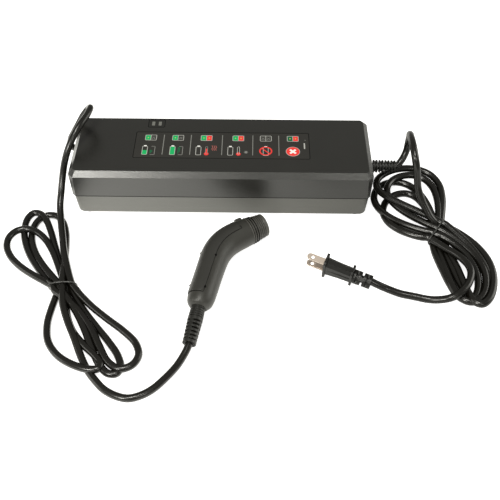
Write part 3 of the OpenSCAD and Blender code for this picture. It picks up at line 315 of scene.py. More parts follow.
def makeMaterial(name, v):
    m = bpy.data.materials.new(name)
    m.use_nodes = True
    colour, gloss, away = v["colour"], v.get("gloss", 0.35), wander["colour"]
    m.diffuse_color = (*colour, 1)
    tree = m.node_tree
    main = tree.nodes["Principled BSDF"]
    setInputs(main, {"Metallic": v.get("metal", 0.0), "Specular IOR Level": v.get("shine", 0.5)})
    g = addNode(tree, "Group")
    g.node_tree = grain
    setInputs(g, {"Scale": v.get("scale", 2500), "Bump": v.get("bump", 0.1)})
    wire(g, "Normal", main, "Normal")
    tone = addNode(tree, "MixRGB", Color1=(*[c * (1 - away) for c in colour], 1),
                   Color2=(*[min(c * (1 + away), 1) for c in colour], 1))
    wire(g, "Cloud", tone, "Fac")
    last = tone
    if v.get("specks"):
        amount = setInputs(addNode(tree, "Math"), {1: v["specks"]})
        amount.operation = "MULTIPLY"
        last = addNode(tree, "MixRGB", Color2=wander["speck"])
        wire(g, "Specks", amount, 0)
        wire(amount, 0, last, "Fac")
        wire(tone, "Color", last, "Color1")
    wire(last, "Color", main, "Base Color")
    rough = addNode(tree, "MapRange", To_Min=max(gloss - wander["gloss"], 0.02),
                    To_Max=min(gloss + wander["gloss"], 1))
    wire(g, "Cloud", rough, "Value")
    wire(rough, "Result", main, "Roughness")
    return m


materials = {name: makeMaterial(name, v) for name, v in finishes.items()}
print("materials made", len(materials))


# Opens meshes for editing, as one.
def opened(*meshes):
    bm = bmesh.new()
    for mesh in meshes:
        bm.from_mesh(mesh)
    return bm


# Ends the editing of a mesh and gives it back.
def closed(bm, mesh):
    bm.to_mesh(mesh)
    bm.free()
    return mesh


def meshOf(bm, name):
    return closed(bm, bpy.data.meshes.new(name))


# Turns an object's modifiers into its own mesh.
def settle(o):
    shown = o.evaluated_get(bpy.context.evaluated_depsgraph_get())
    mesh = bpy.data.meshes.new_from_object(shown)
    o.modifiers.clear()
    o.data = mesh
    return o


# Rounds the sharp edges of an object and shades the rest smooth.
def softenEdges(o, width, angle=25):
    if width:
        bevel = o.modifiers.new("edges", "BEVEL")
        bevel.width = width * mm
        bevel.segments = 2
        bevel.limit_method = "ANGLE"
        bevel.angle_limit = math.radians(angle)
        settle(o)
    for face in o.data.polygons:
        face.use_smooth = True
    o.data.set_sharp_from_angle(angle=math.radians(angle + 8))
    # large flat faces keep their own direction beside the narrow rounded edges
    flat = o.modifiers.new("flat", "WEIGHTED_NORMAL")
    flat.keep_sharp = True
    flat.weight = 90
    return settle(o)


dressed = {}


# Puts a piece in the place of a CAD node.
def takePlace(o, node):
    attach(o, "root")
    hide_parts(node)
    dressed[node] = o


# Copy of a CAD node with rounded edges, which takes the node's place under its name in camel case.
def redress(node, material, width):
    first, *others = node.split("_")
    name = first + "".join(word.title() for word in others)
    mesh = nodes[node].data.copy()
    bm = opened(mesh)
    bmesh.ops.remove_doubles(bm, verts=bm.verts, dist=1e-7)
    bmesh.ops.dissolve_limit(bm, angle_limit=math.radians(0.5), verts=bm.verts, edges=bm.edges)
    closed(bm, mesh)
    takePlace(softenEdges(newObject(name, mesh, material), width), node)


# Finish of each piece and the width of its rounded edges.
rounded = {
    "upper_housing": ("housing", 0.5),
    "lower_housing": ("housingLow", 0.25),
    "plug_body": ("plug", 0.5),
    "plug_blade_upper": ("blade", 0.2),
    "plug_blade_lower": ("blade", 0.2),
    "connector_collar": ("collar", 0.12),
    "connector_insulator": ("epoxy", 0.2),
}
for place in ("front_left", "front_right", "back_left", "back_right"):
    rounded["foot_" + place] = ("footRubber", 0.4)
for node, how in rounded.items():
    redress(node, *how)
print("edges rounded", len(dressed))

# Pieces that need no more than a finish, by finish.
plainFinish = {
    "legend": "legend_panel",
    "window": "led_window",
    "lens": "light_pipe_left light_pipe_right",
    "steel": "housing_screws board_screws",
    "contact": "connector_contacts",
    "board": "circuit_board indicator_board",
    "film": "insulating_sheet",
    "ceramic": "fuse",
    "copper": "emi_choke output_inductor",
    "yellow": "x_capacitor transformer_winding",
    "epoxy": "bridge_rectifier switching_transistors output_diodes control_chip",
    "canSleeve": "bulk_capacitor_front bulk_capacitor_back output_capacitors",
    "aluminium": "primary_heatsink secondary_heatsink",
    "ferrite": "transformer_core",
    "relayCase": "relay",
    "whiteEpoxy": "optocoupler",
    "lamp": "led_lamps",
    "brownWire": "mains_inner_wires",
    "redWire": "output_inner_wires",
}
for material, names in plainFinish.items():
    for name in names.split():
        nodes[name].data.materials.clear()
        nodes[name].data.materials.append(materials[material])
print("plain finishes put on")


# Ribbed sleeve made by a tree of geometry nodes: ribs on a core, joined by short bridges.
def makeSleeveTree():
    tree = bpy.data.node_groups.new("ribbedSleeve", "GeometryNodeTree")
    addSockets(tree, "INPUT", "Geometry", "Geometry")
    addSockets(tree, "INPUT", "Float", "Core Radius", "Root Radius", "Tip Radius", "Length",
               "Rib Thickness", "Neck Length", "Neck Radius", "Flange Radius", "Flange Thickness",
               "End Radius", "End Length", "Bridge Width", "Bridge Inset", "Bridge Angle", "Bridge Turn")
    addSockets(tree, "INPUT", "Int", "Rib Count", "Cross Count")
    addSockets(tree, "INPUT", "Material", "Material")
    addSockets(tree, "OUTPUT", "Geometry", "Geometry")
    n, link = tree.nodes, tree.links.new
    given = n.new("NodeGroupInput").outputs
    out = n.new("NodeGroupOutput")

    # gives each input a number or links it to another node
    def feed(slots, values):
        for slot, value in zip(slots, values):
            if isinstance(value, (int, float)):
                slot.default_value = value
            else:
                link(value, slot)

    def maths(kind, a, b):
        m = n.new("ShaderNodeMath")
        m.operation = kind
        feed(m.inputs, (a, b))
        return m.outputs[0]

    def vector(x, y, z):
        c = n.new("ShaderNodeCombineXYZ")
        feed(c.inputs, (x, y, z))
        return c.outputs[0]

    def cylinder(radius, depth, middle, around=40):
        c = n.new("GeometryNodeMeshCylinder")
        feed((c.inputs["Vertices"], c.inputs["Radius"], c.inputs["Depth"]), (around, radius, depth))
        move = n.new("GeometryNodeTransform")
        wire(c, "Mesh", move, "Geometry")
        link(vector(0, 0, middle), move.inputs["Translation"])
        return move.outputs["Geometry"]

    def spread(count, start, pitch, part, scale, turn=None):
        line = n.new("GeometryNodeMeshLine")
        link(count, line.inputs["Count"])
        link(vector(0, 0, start), line.inputs["Start Location"])
        link(vector(0, 0, pitch), line.inputs["Offset"])
        put = n.new("GeometryNodeInstanceOnPoints")
        wire(line, "Mesh", put, "Points")
        link(part, put.inputs["Instance"])
        link(scale, put.inputs["Scale"])
        if turn:
            link(turn, put.inputs["Rotation"])
        return put.outputs["Instances"]

    index = n.new("GeometryNodeInputIndex").outputs["Index"]
    gaps = maths("SUBTRACT", given["Rib Count"], 1)
    pitch = maths("DIVIDE", maths("SUBTRACT", given["Length"], given["Rib Thickness"]), gaps)
    share = maths("DIVIDE", index, gaps)
    drop = maths("SUBTRACT", given["Root Radius"], given["Tip Radius"])
    ribRadius = maths("SUBTRACT", given["Root Radius"], maths("MULTIPLY", drop, share))
    halfRib = maths("DIVIDE", given["Rib Thickness"], 2)
    rib = cylinder(1.0, given["Rib Thickness"], 0.0, around=56)
    ribs = spread(given["Rib Count"], halfRib, pitch, rib, vector(ribRadius, ribRadius, 1.0))
    cube = n.new("GeometryNodeMeshCube")
    inner = maths("MULTIPLY", maths("SUBTRACT", ribRadius, given["Bridge Inset"]), 2)
    odd = maths("MODULO", index, 2)
    angle = maths("ADD", given["Bridge Angle"], maths("MULTIPLY", odd, given["Bridge Turn"]))
    bridgeSize = vector(inner, given["Bridge Width"], pitch)
    bridgeStart = maths("ADD", halfRib, maths("DIVIDE", pitch, 2))
    bridges = spread(gaps, bridgeStart, pitch, cube.outputs["Mesh"], bridgeSize, vector(0.0, 0.0, angle))
    crossed = spread(given["Cross Count"], bridgeStart, pitch, cube.outputs["Mesh"], bridgeSize,
                     vector(0.0, 0.0, maths("ADD", angle, math.pi / 2)))
    core = cylinder(given["Core Radius"], given["Length"], maths("DIVIDE", given["Length"], 2))
    neck = cylinder(given["Neck Radius"], given["Neck Length"], maths("DIVIDE", given["Neck Length"], -2))
    flangeAt = maths("SUBTRACT", maths("DIVIDE", given["Flange Thickness"], 2), given["Neck Length"])
    flange = cylinder(given["Flange Radius"], given["Flange Thickness"], flangeAt)
    endAt = maths("SUBTRACT", given["Length"], maths("DIVIDE", given["End Length"], 2))
    end = cylinder(given["End Radius"], given["End Length"], endAt)
    join = n.new("GeometryNodeJoinGeometry")
    for part in (ribs, bridges, crossed, core, neck, flange, end):
        link(part, join.inputs["Geometry"])
    real = n.new("GeometryNodeRealizeInstances")
    dress = n.new("GeometryNodeSetMaterial")
    wire(join, "Geometry", real, "Geometry")
    wire(real, "Geometry", dress, "Geometry")
    link(given["Material"], dress.inputs["Material"])
    wire(dress, "Geometry", out, "Geometry")
    return tree


sleeveTree = makeSleeveTree()


def makeSleeve(name, v, place):
    o = newObject(name, bpy.data.meshes.new(name))
    mod = o.modifiers.new("ribs", "NODES")
    mod.node_group = sleeveTree
    values = {"Rib Count": v["ribs"], "Cross Count": v["crossed"], "Material": materials["sleeve"],
              "Bridge Angle": math.radians(v["angle"]), "Bridge Turn": math.radians(v["turn"])}
    for label, size in v["sizes"].items():
        values[label] = size * mm
    for item in sleeveTree.interface.items_tree:
        if item.item_type == "SOCKET" and item.in_out == "INPUT" and item.name in values:
            mod[item.identifier] = values[item.name]
    settle(o)
    o.data.transform(place)
    return softenEdges(o, v["edge"])


# Places a part made along +Z from its root so that it points from one place to another.
def pointing(a, b):
    a, b = Vector(a) * mm, Vector(b) * mm
    return Matrix.Translation(a) @ (b - a).to_track_quat("Z", "Y").to_matrix().to_4x4()


# What most sleeves share, and the two kinds of root that a sleeve has.
zigzag = {"crossed": 0, "angle": 45, "turn": 90, "edge": 0.2}
wallRoot = {"Neck Length": 5.6, "Neck Radius": 4.8, "Flange Radius": 6.4, "Flange Thickness": 2.0,
            "End Length": 1.6, "Bridge Width": 1.8}
freeRoot = {"Neck Length": 0.6, "Neck Radius": 4.0, "Flange Radius": 3.9, "Flange Thickness": 0.4}
mainsSleeve = {"ribs": 10, **zigzag, "sizes": {
    **wallRoot, "Core Radius": 3.5, "Root Radius": 6.6, "Tip Radius": 6.0, "Length": 28.2,
    "Rib Thickness": 1.3, "End Radius": 5.2, "Bridge Inset": 1.2}}
outputSleeve = {"ribs": 3, **zigzag, "sizes": {
    **wallRoot, "Core Radius": 3.6, "Root Radius": 5.4, "Tip Radius": 4.9, "Length": 7.2,
    "Rib Thickness": 1.4, "End Radius": 4.6, "Bridge Inset": 1.0}}
connectorSleeveTop = {"ribs": 6, **zigzag, "edge": 0.15, "sizes": {
    **freeRoot, "Core Radius": 5.9, "Root Radius": 6.4, "Tip Radius": 6.8, "Length": 11.7,
    "Rib Thickness": 1.3, "End Radius": 4.1, "End Length": 1.0, "Bridge Width": 1.8, "Bridge Inset": 1.0}}
connectorSleeveEnd = {"ribs": 7, "crossed": 6, "angle": 18, "turn": 0, "edge": 0.2, "sizes": {
    **freeRoot, "Core Radius": 3.6, "Root Radius": 6.8, "Tip Radius": 6.0, "Length": 23.4,
    "Rib Thickness": 1.9, "End Radius": 6.1, "End Length": 2.4, "Bridge Width": 3.4, "Bridge Inset": 0.5}}
plugSleeve = {"ribs": 4, **zigzag, "edge": 0.12, "sizes": {
    **freeRoot, "Core Radius": 3.52, "Root Radius": 6.5, "Tip Radius": 6.4, "Length": 17.1,
    "Rib Thickness": 2.8, "End Radius": 6.4, "End Length": 2.8, "Bridge Width": 3.4, "Bridge Inset": 0.1,
    "Neck Length": 2.7, "Neck Radius": 4.4}}
sleeves = {
    "mainsSleeve": (mainsSleeve, (145, 4, 26), (173.2, 4, 26), "mains_strain_relief"),
    "outputSleeve": (outputSleeve, (-145, 27, 26), (-152.2, 27, 26), "dc_strain_relief"),
}
for name, (values, root, tip, node) in sleeves.items():
    takePlace(makeSleeve(name, values, pointing(root, tip)), node)


# Puts the second object's mesh into the first.
def joinInto(first, second):
    closed(opened(first.data, second.data), first.data)
    bpy.data.objects.remove(second)
    return first


# The sleeve below the handle has fine ribs at the top and coarse ones from the place "coarse" on.
relief = {"top": (-16, -166, 12), "end": (-22, -200, 7), "coarse": 11.6}
reliefTop, reliefEnd = Vector(relief["top"]), Vector(relief["end"])
reliefMiddle = reliefTop + (reliefEnd - reliefTop).normalized() * relief["coarse"]
takePlace(joinInto(
    makeSleeve("connectorSleeve", connectorSleeveTop, pointing(reliefTop, reliefEnd)),
    makeSleeve("connectorSleeveEnd", connectorSleeveEnd, pointing(reliefMiddle, reliefEnd))),
    "connector_strain_relief")

# Face of the plug, the way from it along the cord, and how far behind it the sleeve starts.
plug = {"face": (97, -118, 15.3), "way": (0.91982, -0.38477, -0.07672), "sleeveAt": 27.45}


# Gives the plug a finer sleeve behind its rear plate.
def fitPlugSleeve(o, v, sleeve):
    way = Vector(v["way"])
    root = Vector(v["face"]) + way * v["sleeveAt"]
    bm = opened(o.data)
    cut = bmesh.ops.bisect_plane(bm, geom=bm.verts[:] + bm.edges[:] + bm.faces[:],
                                 plane_co=root * mm, plane_no=way, clear_outer=True)
    rim = [e for e in cut["geom_cut"] if isinstance(e, bmesh.types.BMEdge)]
    bmesh.ops.triangle_fill(bm, use_beauty=True, edges=rim)
    bmesh.ops.recalc_face_normals(bm, faces=bm.faces)
    closed(bm, o.data)
    joinInto(o, makeSleeve("plugSleeve", sleeve, pointing(root, root + way)))
    softenEdges(o, 0)


fitPlugSleeve(dressed["plug_body"], plug, plugSleeve)
print("sleeves made")


# Handle of the connector: outlines along a bent line, closer together than in the CAD part.
handle = {
    "sides": 64,
    "between": 5,
    "stations": [(26, -76, 13.5, 13.2, 13.2), (19, -80.5, 13.5, 13.8, 13.4),
                 (12, -85.5, 13.5, 14, 13.4), (6, -91, 13.5, 14, 13.4),
                 (1, -98, 13.5, 13.8, 13.4), (-3, -107, 13.5, 13.4, 13.2),
                 (-6, -119, 13.5, 12.9, 12.9), (-9, -133, 13.4, 12.6, 12.6),
                 (-12, -147, 13.2, 12.5, 12.5), (-14, -156, 12.9, 12.2, 12.2), (-15.2, -161.5, 12.7, 11, 11),
                 (-15.7, -164.3, 12.25, 9.2, 9.2), (-16, -166, 12, 7.4, 7.4)],
    "collarYaw": 31,
    "strip": {"from": 77, "to": 163, "first": 1, "last": 9, "thick": 0.56, "sunk": 0.2, "steps": 24,
              "taper": 0.09, "narrow": 12, "edge": 0.25},
    "seam": {"beside": 1, "past": 0.4, "out": 0.12, "radius": 0.22, "steps": 40},
    "dots": {"right": (5.75, 8.45), "left": (5.3, 8.0), "radius": 1.0, "out": 0.3},
    "lug": {"radius": 3, "length": 6.4, "up": 5, "out": 12, "back": 0.12, "edge": 0.4},
    "rings": {"places": (1.3, 3.7, 6.1), "thick": 0.4, "fine": (8.3, 10.2, 12.1, 14), "fineThick": 0.14,
              "start": 13.2, "end": 11.2, "length": 18},
}


# Cuts through the handle: the middle, and half its width and height as vectors and as lengths.
def handleFrames(v):
    line = [(Vector(r[:3]), r[3], r[4]) for r in smoothLine(v["stations"], v["between"])]
    yaw = math.radians(v["collarYaw"])
    frames = []
    for i, (middle, wide, high) in enumerate(line):
        ahead = line[min(i + 1, len(line) - 1)][0] - line[max(i - 1, 0)][0]
        if i == 0:
            ahead = Vector((-math.cos(yaw), -math.sin(yaw), 0))
        ahead.normalize()
        across = Vector((0, 0, 1)).cross(ahead).normalized()
        frames.append((middle, across * wide, ahead.cross(across) * high, wide, high))
    return frames


def skinPoint(frames, row, angle, out):
    i = min(int(row), len(frames) - 2)
    f = row - i
    points = []
    for middle, across, over, wide, high in frames[i:i + 2]:
        points.append(middle + across * (1 + out / wide) * math.cos(angle)
                      + over * (1 + out / high) * math.sin(angle))
    return points[0].lerp(points[1], f) * mm


# Faces between two rings with the same number of corners.
def bandFaces(bm, a, b):
    for k in range(len(a)):
        after = (k + 1) % len(a)
        bm.faces.new((a[k], a[after], b[after], b[k]))


# A closed skin over rings of points, with flat ends.
def skinMesh(name, rings, closedEnds=True):
    bm = bmesh.new()
    rows = [[bm.verts.new(p) for p in ring] for ring in rings]
    for a, b in zip(rows, rows[1:]):
        bandFaces(bm, a, b)
    if closedEnds:
        bm.faces.new(list(reversed(rows[0])))
        bm.faces.new(rows[-1])
    bmesh.ops.recalc_face_normals(bm, faces=bm.faces)
    return meshOf(bm, name)


# Frame at the mouth end of the handle, with Z along the collar.
def collarPlace(v):
    turn = Matrix.Rotation(math.radians(v["collarYaw"]), 4, "Z") @ Matrix.Rotation(math.pi / 2, 4, "Y")
    return Matrix.Translation(Vector(v["stations"][0][:3]) * mm) @ turn


def makeHandle(v):
    frames = handleFrames(v)
    turn = 2 * math.pi / v["sides"]
    rings = [[skinPoint(frames, i, turn * k, 0) for k in range(v["sides"])] for i in range(len(frames))]
    o = newObject("connectorHandle", skinMesh("connectorHandle", rings), "handle")
    lug = v["lug"]
    bm = bmesh.new()
    bmesh.ops.create_cone(bm, cap_ends=True, segments=32, radius1=lug["radius"] * mm,
                          radius2=lug["radius"] * mm, depth=lug["length"] * mm)
    middle = Vector((-lug["up"], lug["out"], -lug["length"] / 2 - lug["back"])) * mm
    bmesh.ops.translate(bm, vec=middle, verts=bm.verts)
    bmesh.ops.transform(bm, matrix=collarPlace(v), verts=bm.verts)
    o = softenEdges(joinInto(o, newObject("lug", meshOf(bm, "lug"))), lug["edge"], 30)
    takePlace(o, "connector_handle")


# First and last row of the handle's skin that the strip covers.
def stripRows(v):
    return v["strip"]["first"] * v["between"], v["strip"]["last"] * v["between"]


# Strip on the handle: a patch of its skin with round corners, a little thicker than the skin.
def makeStrip(v):
    s, frames = v["strip"], handleFrames(v)
    first, last = stripRows(v)
    rows = last - first
    rings = []
    for i in range(rows + 1):
        # the ends of the strip narrow like a round corner
        near = min(i, rows - i) / (rows * s["taper"])
        inset = 0 if near >= 1 else (1 - math.sqrt(1 - (1 - near) ** 2)) * s["narrow"]
        a, b = math.radians(s["from"] + inset), math.radians(s["to"] - inset)
        angles = [a + (b - a) * k / s["steps"] for k in range(s["steps"] + 1)]
        outer = [skinPoint(frames, first + i, angle, s["thick"]) for angle in angles]
        inner = [skinPoint(frames, first + i, angle, -s["sunk"]) for angle in reversed(angles)]
        rings.append(outer + inner)
    o = softenEdges(newObject("gripStrip", skinMesh("gripStrip", rings), "inlay"), s["edge"], 40)
    takePlace(o, "connector_grip_inlay")


def circle(x, y, r, count=40):
    return [(x + r * math.cos(2 * math.pi * k / count), y + r * math.sin(2 * math.pi * k / count))
            for k in range(count)]


# A tube along a line of points, closed into a ring or with flat ends.
def tubeMesh(name, points, radius, sides=12, ring=False):
    count = len(points)
    normal = Vector((0, 0, 1))
    rings = []
    for i, p in enumerate(points):
        a = points[(i - 1) % count] if ring or i > 0 else points[0]
        b = points[(i + 1) % count] if ring or i < count - 1 else points[-1]
        way = (b - a).normalized()
        normal = (normal - way * normal.dot(way)).normalized()
        other = way.cross(normal)
        rings.append([p + normal * x + other * y for x, y in circle(0, 0, radius, sides)])
    if ring:
        rings.append(rings[0])
    mesh = skinMesh(name, rings, not ring)
    if ring:
        bm = opened(mesh)
        bmesh.ops.remove_doubles(bm, verts=bm.verts, dist=1e-6)
        bmesh.ops.recalc_face_normals(bm, faces=bm.faces)
        closed(bm, mesh)
    return mesh


# Dark seam round the strip, small dark dots on it, and dark rings round the collar.
def makeSeams(v):
    strip, seam, dots, rings = v["strip"], v["seam"], v["dots"], v["rings"]
    frames = handleFrames(v)
    first, last = stripRows(v)
    a, b = math.radians(strip["from"] - seam["beside"]), math.radians(strip["to"] + seam["beside"])
    along = [(last - first) * k / seam["steps"] for k in range(seam["steps"] + 1)]
    across = [(b - a) * k / strip["steps"] for k in range(1, strip["steps"])]
    border = [(first + x, a) for x in along] + [(last + seam["past"], a + x) for x in across]
    border += [(last - x, b) for x in along] + [(first, b - x) for x in across]
    line = [skinPoint(frames, row, angle, seam["out"]) for row, angle in border]
    o = newObject("handleSeams", tubeMesh("handleSeams", line, seam["radius"] * mm, 8, True), "groove")
    for rows, angle in ((dots["right"], a), (dots["left"], b)):
        for row in rows:
            bm = bmesh.new()
            bmesh.ops.create_uvsphere(bm, u_segments=14, v_segments=8, radius=dots["radius"] * mm)
            middle = skinPoint(frames, row * v["between"], angle, dots["out"])
            bmesh.ops.translate(bm, vec=middle, verts=bm.verts)
            joinInto(o, newObject("dot", meshOf(bm, "dot")))
    place = collarPlace(v)
    for places, thick in ((rings["places"], rings["thick"]), (rings["fine"], rings["fineThick"])):
        for x in places:
            r = rings["start"] + (rings["end"] - rings["start"]) * x / rings["length"]
            line = [place @ (Vector((*p, x)) * mm) for p in circle(0, 0, r, 64)]
            joinInto(o, newObject("ring", tubeMesh("ring", line, thick * mm, 8, True)))
    softenEdges(o, 0)
    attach(o, "root")
    return o


makeHandle(handle)
makeStrip(handle)
handleSeams = makeSeams(handle)

housingSeam = {"height": 26, "reach": 0.3, "radius": 0.3, "sink": 0.16, "step": 0.3}


# Thin dark joint between the housing halves, round the outline that they share.
def makeHousingSeam(v):
    places = []
    for node in ("upper_housing", "lower_housing"):
        places += [p.co for p in nodes[node].data.vertices if abs(p.co.z / mm - v["height"]) < v["reach"]]
    flat = [(p.x, p.y) for p in places]
    loop = [flat[i] for i in geometry.convex_hull_2d(flat)]
    middle = Vector((sum(p[0] for p in loop), sum(p[1] for p in loop))) / len(loop)
    line = []
    for k, (x, y) in enumerate(loop):
        after = loop[(k + 1) % len(loop)]
        # corners that nearly meet make one place of the line
        if math.dist((x, y), after) > v["step"] * mm:
            inward = (middle - Vector((x, y))).normalized() * v["sink"] * mm
            line.append(Vector((x + inward.x, y + inward.y, v["height"] * mm)))
    o = newObject("housingSeam", tubeMesh("housingSeam", line, v["radius"] * mm, 8, True), "groove")
    softenEdges(o, 0)
    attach(o, "root")


makeHousingSeam(housingSeam)
print("handle made")


# Wire ties: a ring of wire round the strands, given as offset across the tie and height.
# The free ends have the same two values and a third one along the strands.
ties = {
    "mainsTie": {
        "tie": mainsCord["tie"], "wire": 0.75, "skew": 0, "node": "mains_cord_tie",
        "ring": [(-15.6, 4), (-15.2, 10), (-12.5, 16), (-9, 17.9), (-5, 17), (0, 14.8), (6, 13.9),
                 (12, 12.9), (14.5, 10.5), (14.2, 6.5), (10.5, 1.6), (5, 0.75), (-5, 0.75), (-13, 0.8)],
        "ends": [[(14.4, 8, 0), (14.6, 5.6, -1), (14, 4, -3.5)]]},
    "outputTie": {
        "tie": outputCord["tie"], "wire": 0.75, "skew": 0.45, "node": "dc_cord_tie",
        "ring": [(-9.6, 2), (-11.2, 5.5), (-11.3, 8.6), (-8.6, 11.9), (-4, 12.8), (2, 13), (7, 12.2),
                 (11, 10.4), (11.7, 7), (11, 3), (8.4, 0.8), (3, 0.75), (-4, 0.75)],
        "ends": [[(-9, 10.4, -4), (-10.5, 10, -8), (-12, 9, -12), (-12.5, 7.5, -16), (-12, 6.5, -20)],
                 [(9, 11, 4.5), (10.5, 11.6, 6.5), (11, 11.6, 9)]]},
}


def makeTie(name, v):
    at, along, side = tieFrame(v["tie"])
    ring = smoothLine([(*p, 0) for p in v["ring"] + v["ring"][:1]], 5)[:-1]
    across = side + along * v["skew"]
    line = [(at + across * p.x + Vector((0, 0, max(p.y, v["wire"])))) * mm for p in ring]
    o = newObject(name, tubeMesh(name, line, v["wire"] * mm, ring=True), "wireTie")
    for end in v["ends"]:
        line = [(at + side * p.x + along * p.z + Vector((0, 0, p.y))) * mm for p in smoothLine(end, 6)]
        joinInto(o, newObject("end", tubeMesh("end", line, v["wire"] * mm)))
    softenEdges(o, 0)
    takePlace(o, v["node"])


for name, values in ties.items():
    makeTie(name, values)
print("ties made")


# The print on the legend panel: thin flat shapes, one mesh for each colour.
# Heights of the bottom and of their tops. Where two shapes overlap, the higher one shows.
layers = {"bottom": 55.93, "fill": 55.98, "mark": 55.985, "plain": 55.99, "column": 55.995,
          "slash": 55.998, "sign": 56.0, "frame": 56.03, "between": 0.002}
printLine = 0.55
printMeshes = {}


def printMesh(colour):
    return printMeshes.setdefault(colour, bmesh.new())


def printRow(bm, points, z):
    return [bm.verts.new(Vector((x, y, z)) * mm) for x, y in points]


def addPlate(colour, points, top=layers["plain"]):
    bm = printMesh(colour)
    low, high = printRow(bm, points, layers["bottom"]), printRow(bm, points, top)
    bm.faces.new(list(reversed(low)))
    bm.faces.new(high)
    bandFaces(bm, low, high)


# Closed outline of even width, given by its outer and inner points.
def addOutline(colour, outer, inner, top=layers["plain"]):
    bm, low = printMesh(colour), layers["bottom"]
    edges = ((outer, low), (outer, top), (inner, top), (inner, low))
    rows = [printRow(bm, points, z) for points, z in edges]
    for a, b in zip(rows, rows[1:] + rows[:1]):
        bandFaces(bm, a, b)


def roundedBox(x, y, w, h, r, steps=4):
    points = []
    for q, (sx, sy) in enumerate(((1, 1), (-1, 1), (-1, -1), (1, -1))):
        for k in range(steps + 1):
            a = math.pi / 2 * (q + k / steps)
            points.append((x + sx * (w / 2 - r) + r * math.cos(a),
                           y + sy * (h / 2 - r) + r * math.sin(a)))
    return points


def bar(x0, y0, x1, y1, width):
    way = Vector((x1 - x0, y1 - y0)).normalized() * width / 2
    return [(x0 + way.y, y0 - way.x), (x1 + way.y, y1 - way.x),
            (x1 - way.y, y1 + way.x), (x0 - way.y, y0 + way.x)]


def boxOutline(colour, x, y, w, h, r, line, top=layers["plain"]):
    inside = roundedBox(x, y, w - 2 * line, h - 2 * line, max(r - line, 0.1))
    addOutline(colour, roundedBox(x, y, w, h, r), inside, top)


# Places across the panel and what stands there. The signs' own sizes come first.
legend = {
    "lampPair": {"y": 9.6, "wide": 11.4, "high": 8.2, "corner": 1.2, "halfCorner": 0.7, "dot": 0.7,
                 "hole": 0.55,
                 "holes": ((-0.99, 0.9), (0.99, 0.9), (0, -0.2), (-0.99, -1.3), (0.99, -1.3))},
    "battery": {"low": -15.6, "high": -3.2, "wide": 5.4, "corner": 1.1, "cap": (2.8, 1.3, 0.4)},
    "openSign": ((-1.6, -3.4, 2.2, -3.4), (1.95, -3.2, 1.95, -15.4), (-2.2, -15.4, 2.2, -15.4)),
    "thermometer": {"tube": (2.5, 11, 1.2, 0.45), "y": -8.4, "bulbY": -13.6, "bulb": 2.2, "foot": -13,
                    "column": (9, 1.3)},
    "ringSign": {"y": -8.9, "radius": 6.4, "line": 1.4},
    "crossSign": {"y": -9.2, "radius": 6.5, "rim": (0.35, 0.1), "arm": 2.2},
    "heat": {"y": -1.6, "step": 2.4, "lean": 0.5, "line": 0.6},
    "star": {"at": (23.5, -10.8), "arm": 2.0, "line": 0.8},
    "frames": ((0, -1, 170.6, 38.6, 1.6, 0.55), (-66.4, 31.2, 17, 12.2, 1.4, 0.5)),
    "dividers": {"at": (-57.3, -30.7, 0.1, 30, 55.4), "bottom": -15.2, "top": 14.1, "line": 0.7},
    "lampPairs": ((-70.2, "green", None), (-43.5, "green", None), (-15.5, "green", "red"),
                  (15.7, "green", "red"), (42.7, None, None), (69.2, "dimGreen", "red")),
    "batteries": ((-74.6, 0.52), (-47.8, 1.0), (-22.6, 0), (8.3, 0), (42.6, 0)),
    "openSigns": ((-66.9, ((-68.9, -13.4, -68.9, -8.6, 1.6), (-67.6, -11.6, -67.6, -9.4, 1.0))),
                  (-39.9, ((-42.2, -13.8, -42.2, -4.6, 1.0), (-40.9, -11.2, -40.9, -3.6, 0.8)))),
    "thermometers": ((-14.8, 0.75), (16.2, 0.2)),
    "heatSigns": ((-9.2,), (-7.4,), (-5.6,)),
    "ringAt": 42.6,
    "crossAt": 68.9,
    "mark": (80.3, -5.2, 80.3, 3.2, 1.3),
    "point": (81.2, 7.6, 0.5),
}


# Pair of small lamp boxes; each half is a colour or shows a few small holes.
def lampPair(x, left, right):
    v, line = legend["lampPair"], printLine
    y, w, h = v["y"], v["wide"], v["high"]
    boxOutline("paleGrey", x, y, w, h, v["corner"], line)
    addPlate("paleGrey", bar(x, y - h / 2 + line, x, y + h / 2 - line, line), layers["mark"])
    for s, colour in ((-1, left), (1, right)):
        middle = x + s * (w - line) / 4
        if colour:
            half = roundedBox(middle, y, w / 2 - 1.6 * line, h - 2.4 * line, v["halfCorner"])
            addPlate(colour, half, layers["fill"])
            addPlate("yellowPrint", circle(middle, y, v["dot"], 12), layers["sign"])
        else:
            for dx, dy in v["holes"]:
                addPlate("midGrey", circle(middle + dx, y + dy, v["hole"], 10))


# Battery sign, with a cap and a filled share.
def battery(x, fill):
    v, line = legend["battery"], printLine
    low, high, w = v["low"], v["high"], v["wide"]
    boxOutline("paleGrey", x, (low + high) / 2, w, high - low, v["corner"], line)
    addPlate("white", roundedBox(x, high + 0.7, *v["cap"]))
    if fill:
        side, level = w / 2 - line, low + line + fill * (high - low - 2 * line)
        corners = [(x - side, low + line), (x + side, low + line), (x + side, level), (x - side, level)]
        addPlate("green", corners, layers["mark"])


# Half sign open to the left, with dim marks in it.
def openSign(x, marks):
    for x0, y0, x1, y1 in legend["openSign"]:
        addPlate("midGrey", bar(x + x0, y0, x + x1, y1, printLine))
    for mark in marks:
        addPlate("dimGreen", bar(*mark), layers["mark"])


def thermometer(x, fill):
    v = legend["thermometer"]
    long, wide = v["column"]
    boxOutline("paleGrey" if fill < 0.5 else "midGrey", x, v["y"], *v["tube"])
    addPlate("red", circle(x, v["bulbY"], v["bulb"], 24), layers["mark"])
    addPlate("red", bar(x, v["foot"], x, v["foot"] + long * fill, wide), layers["column"])


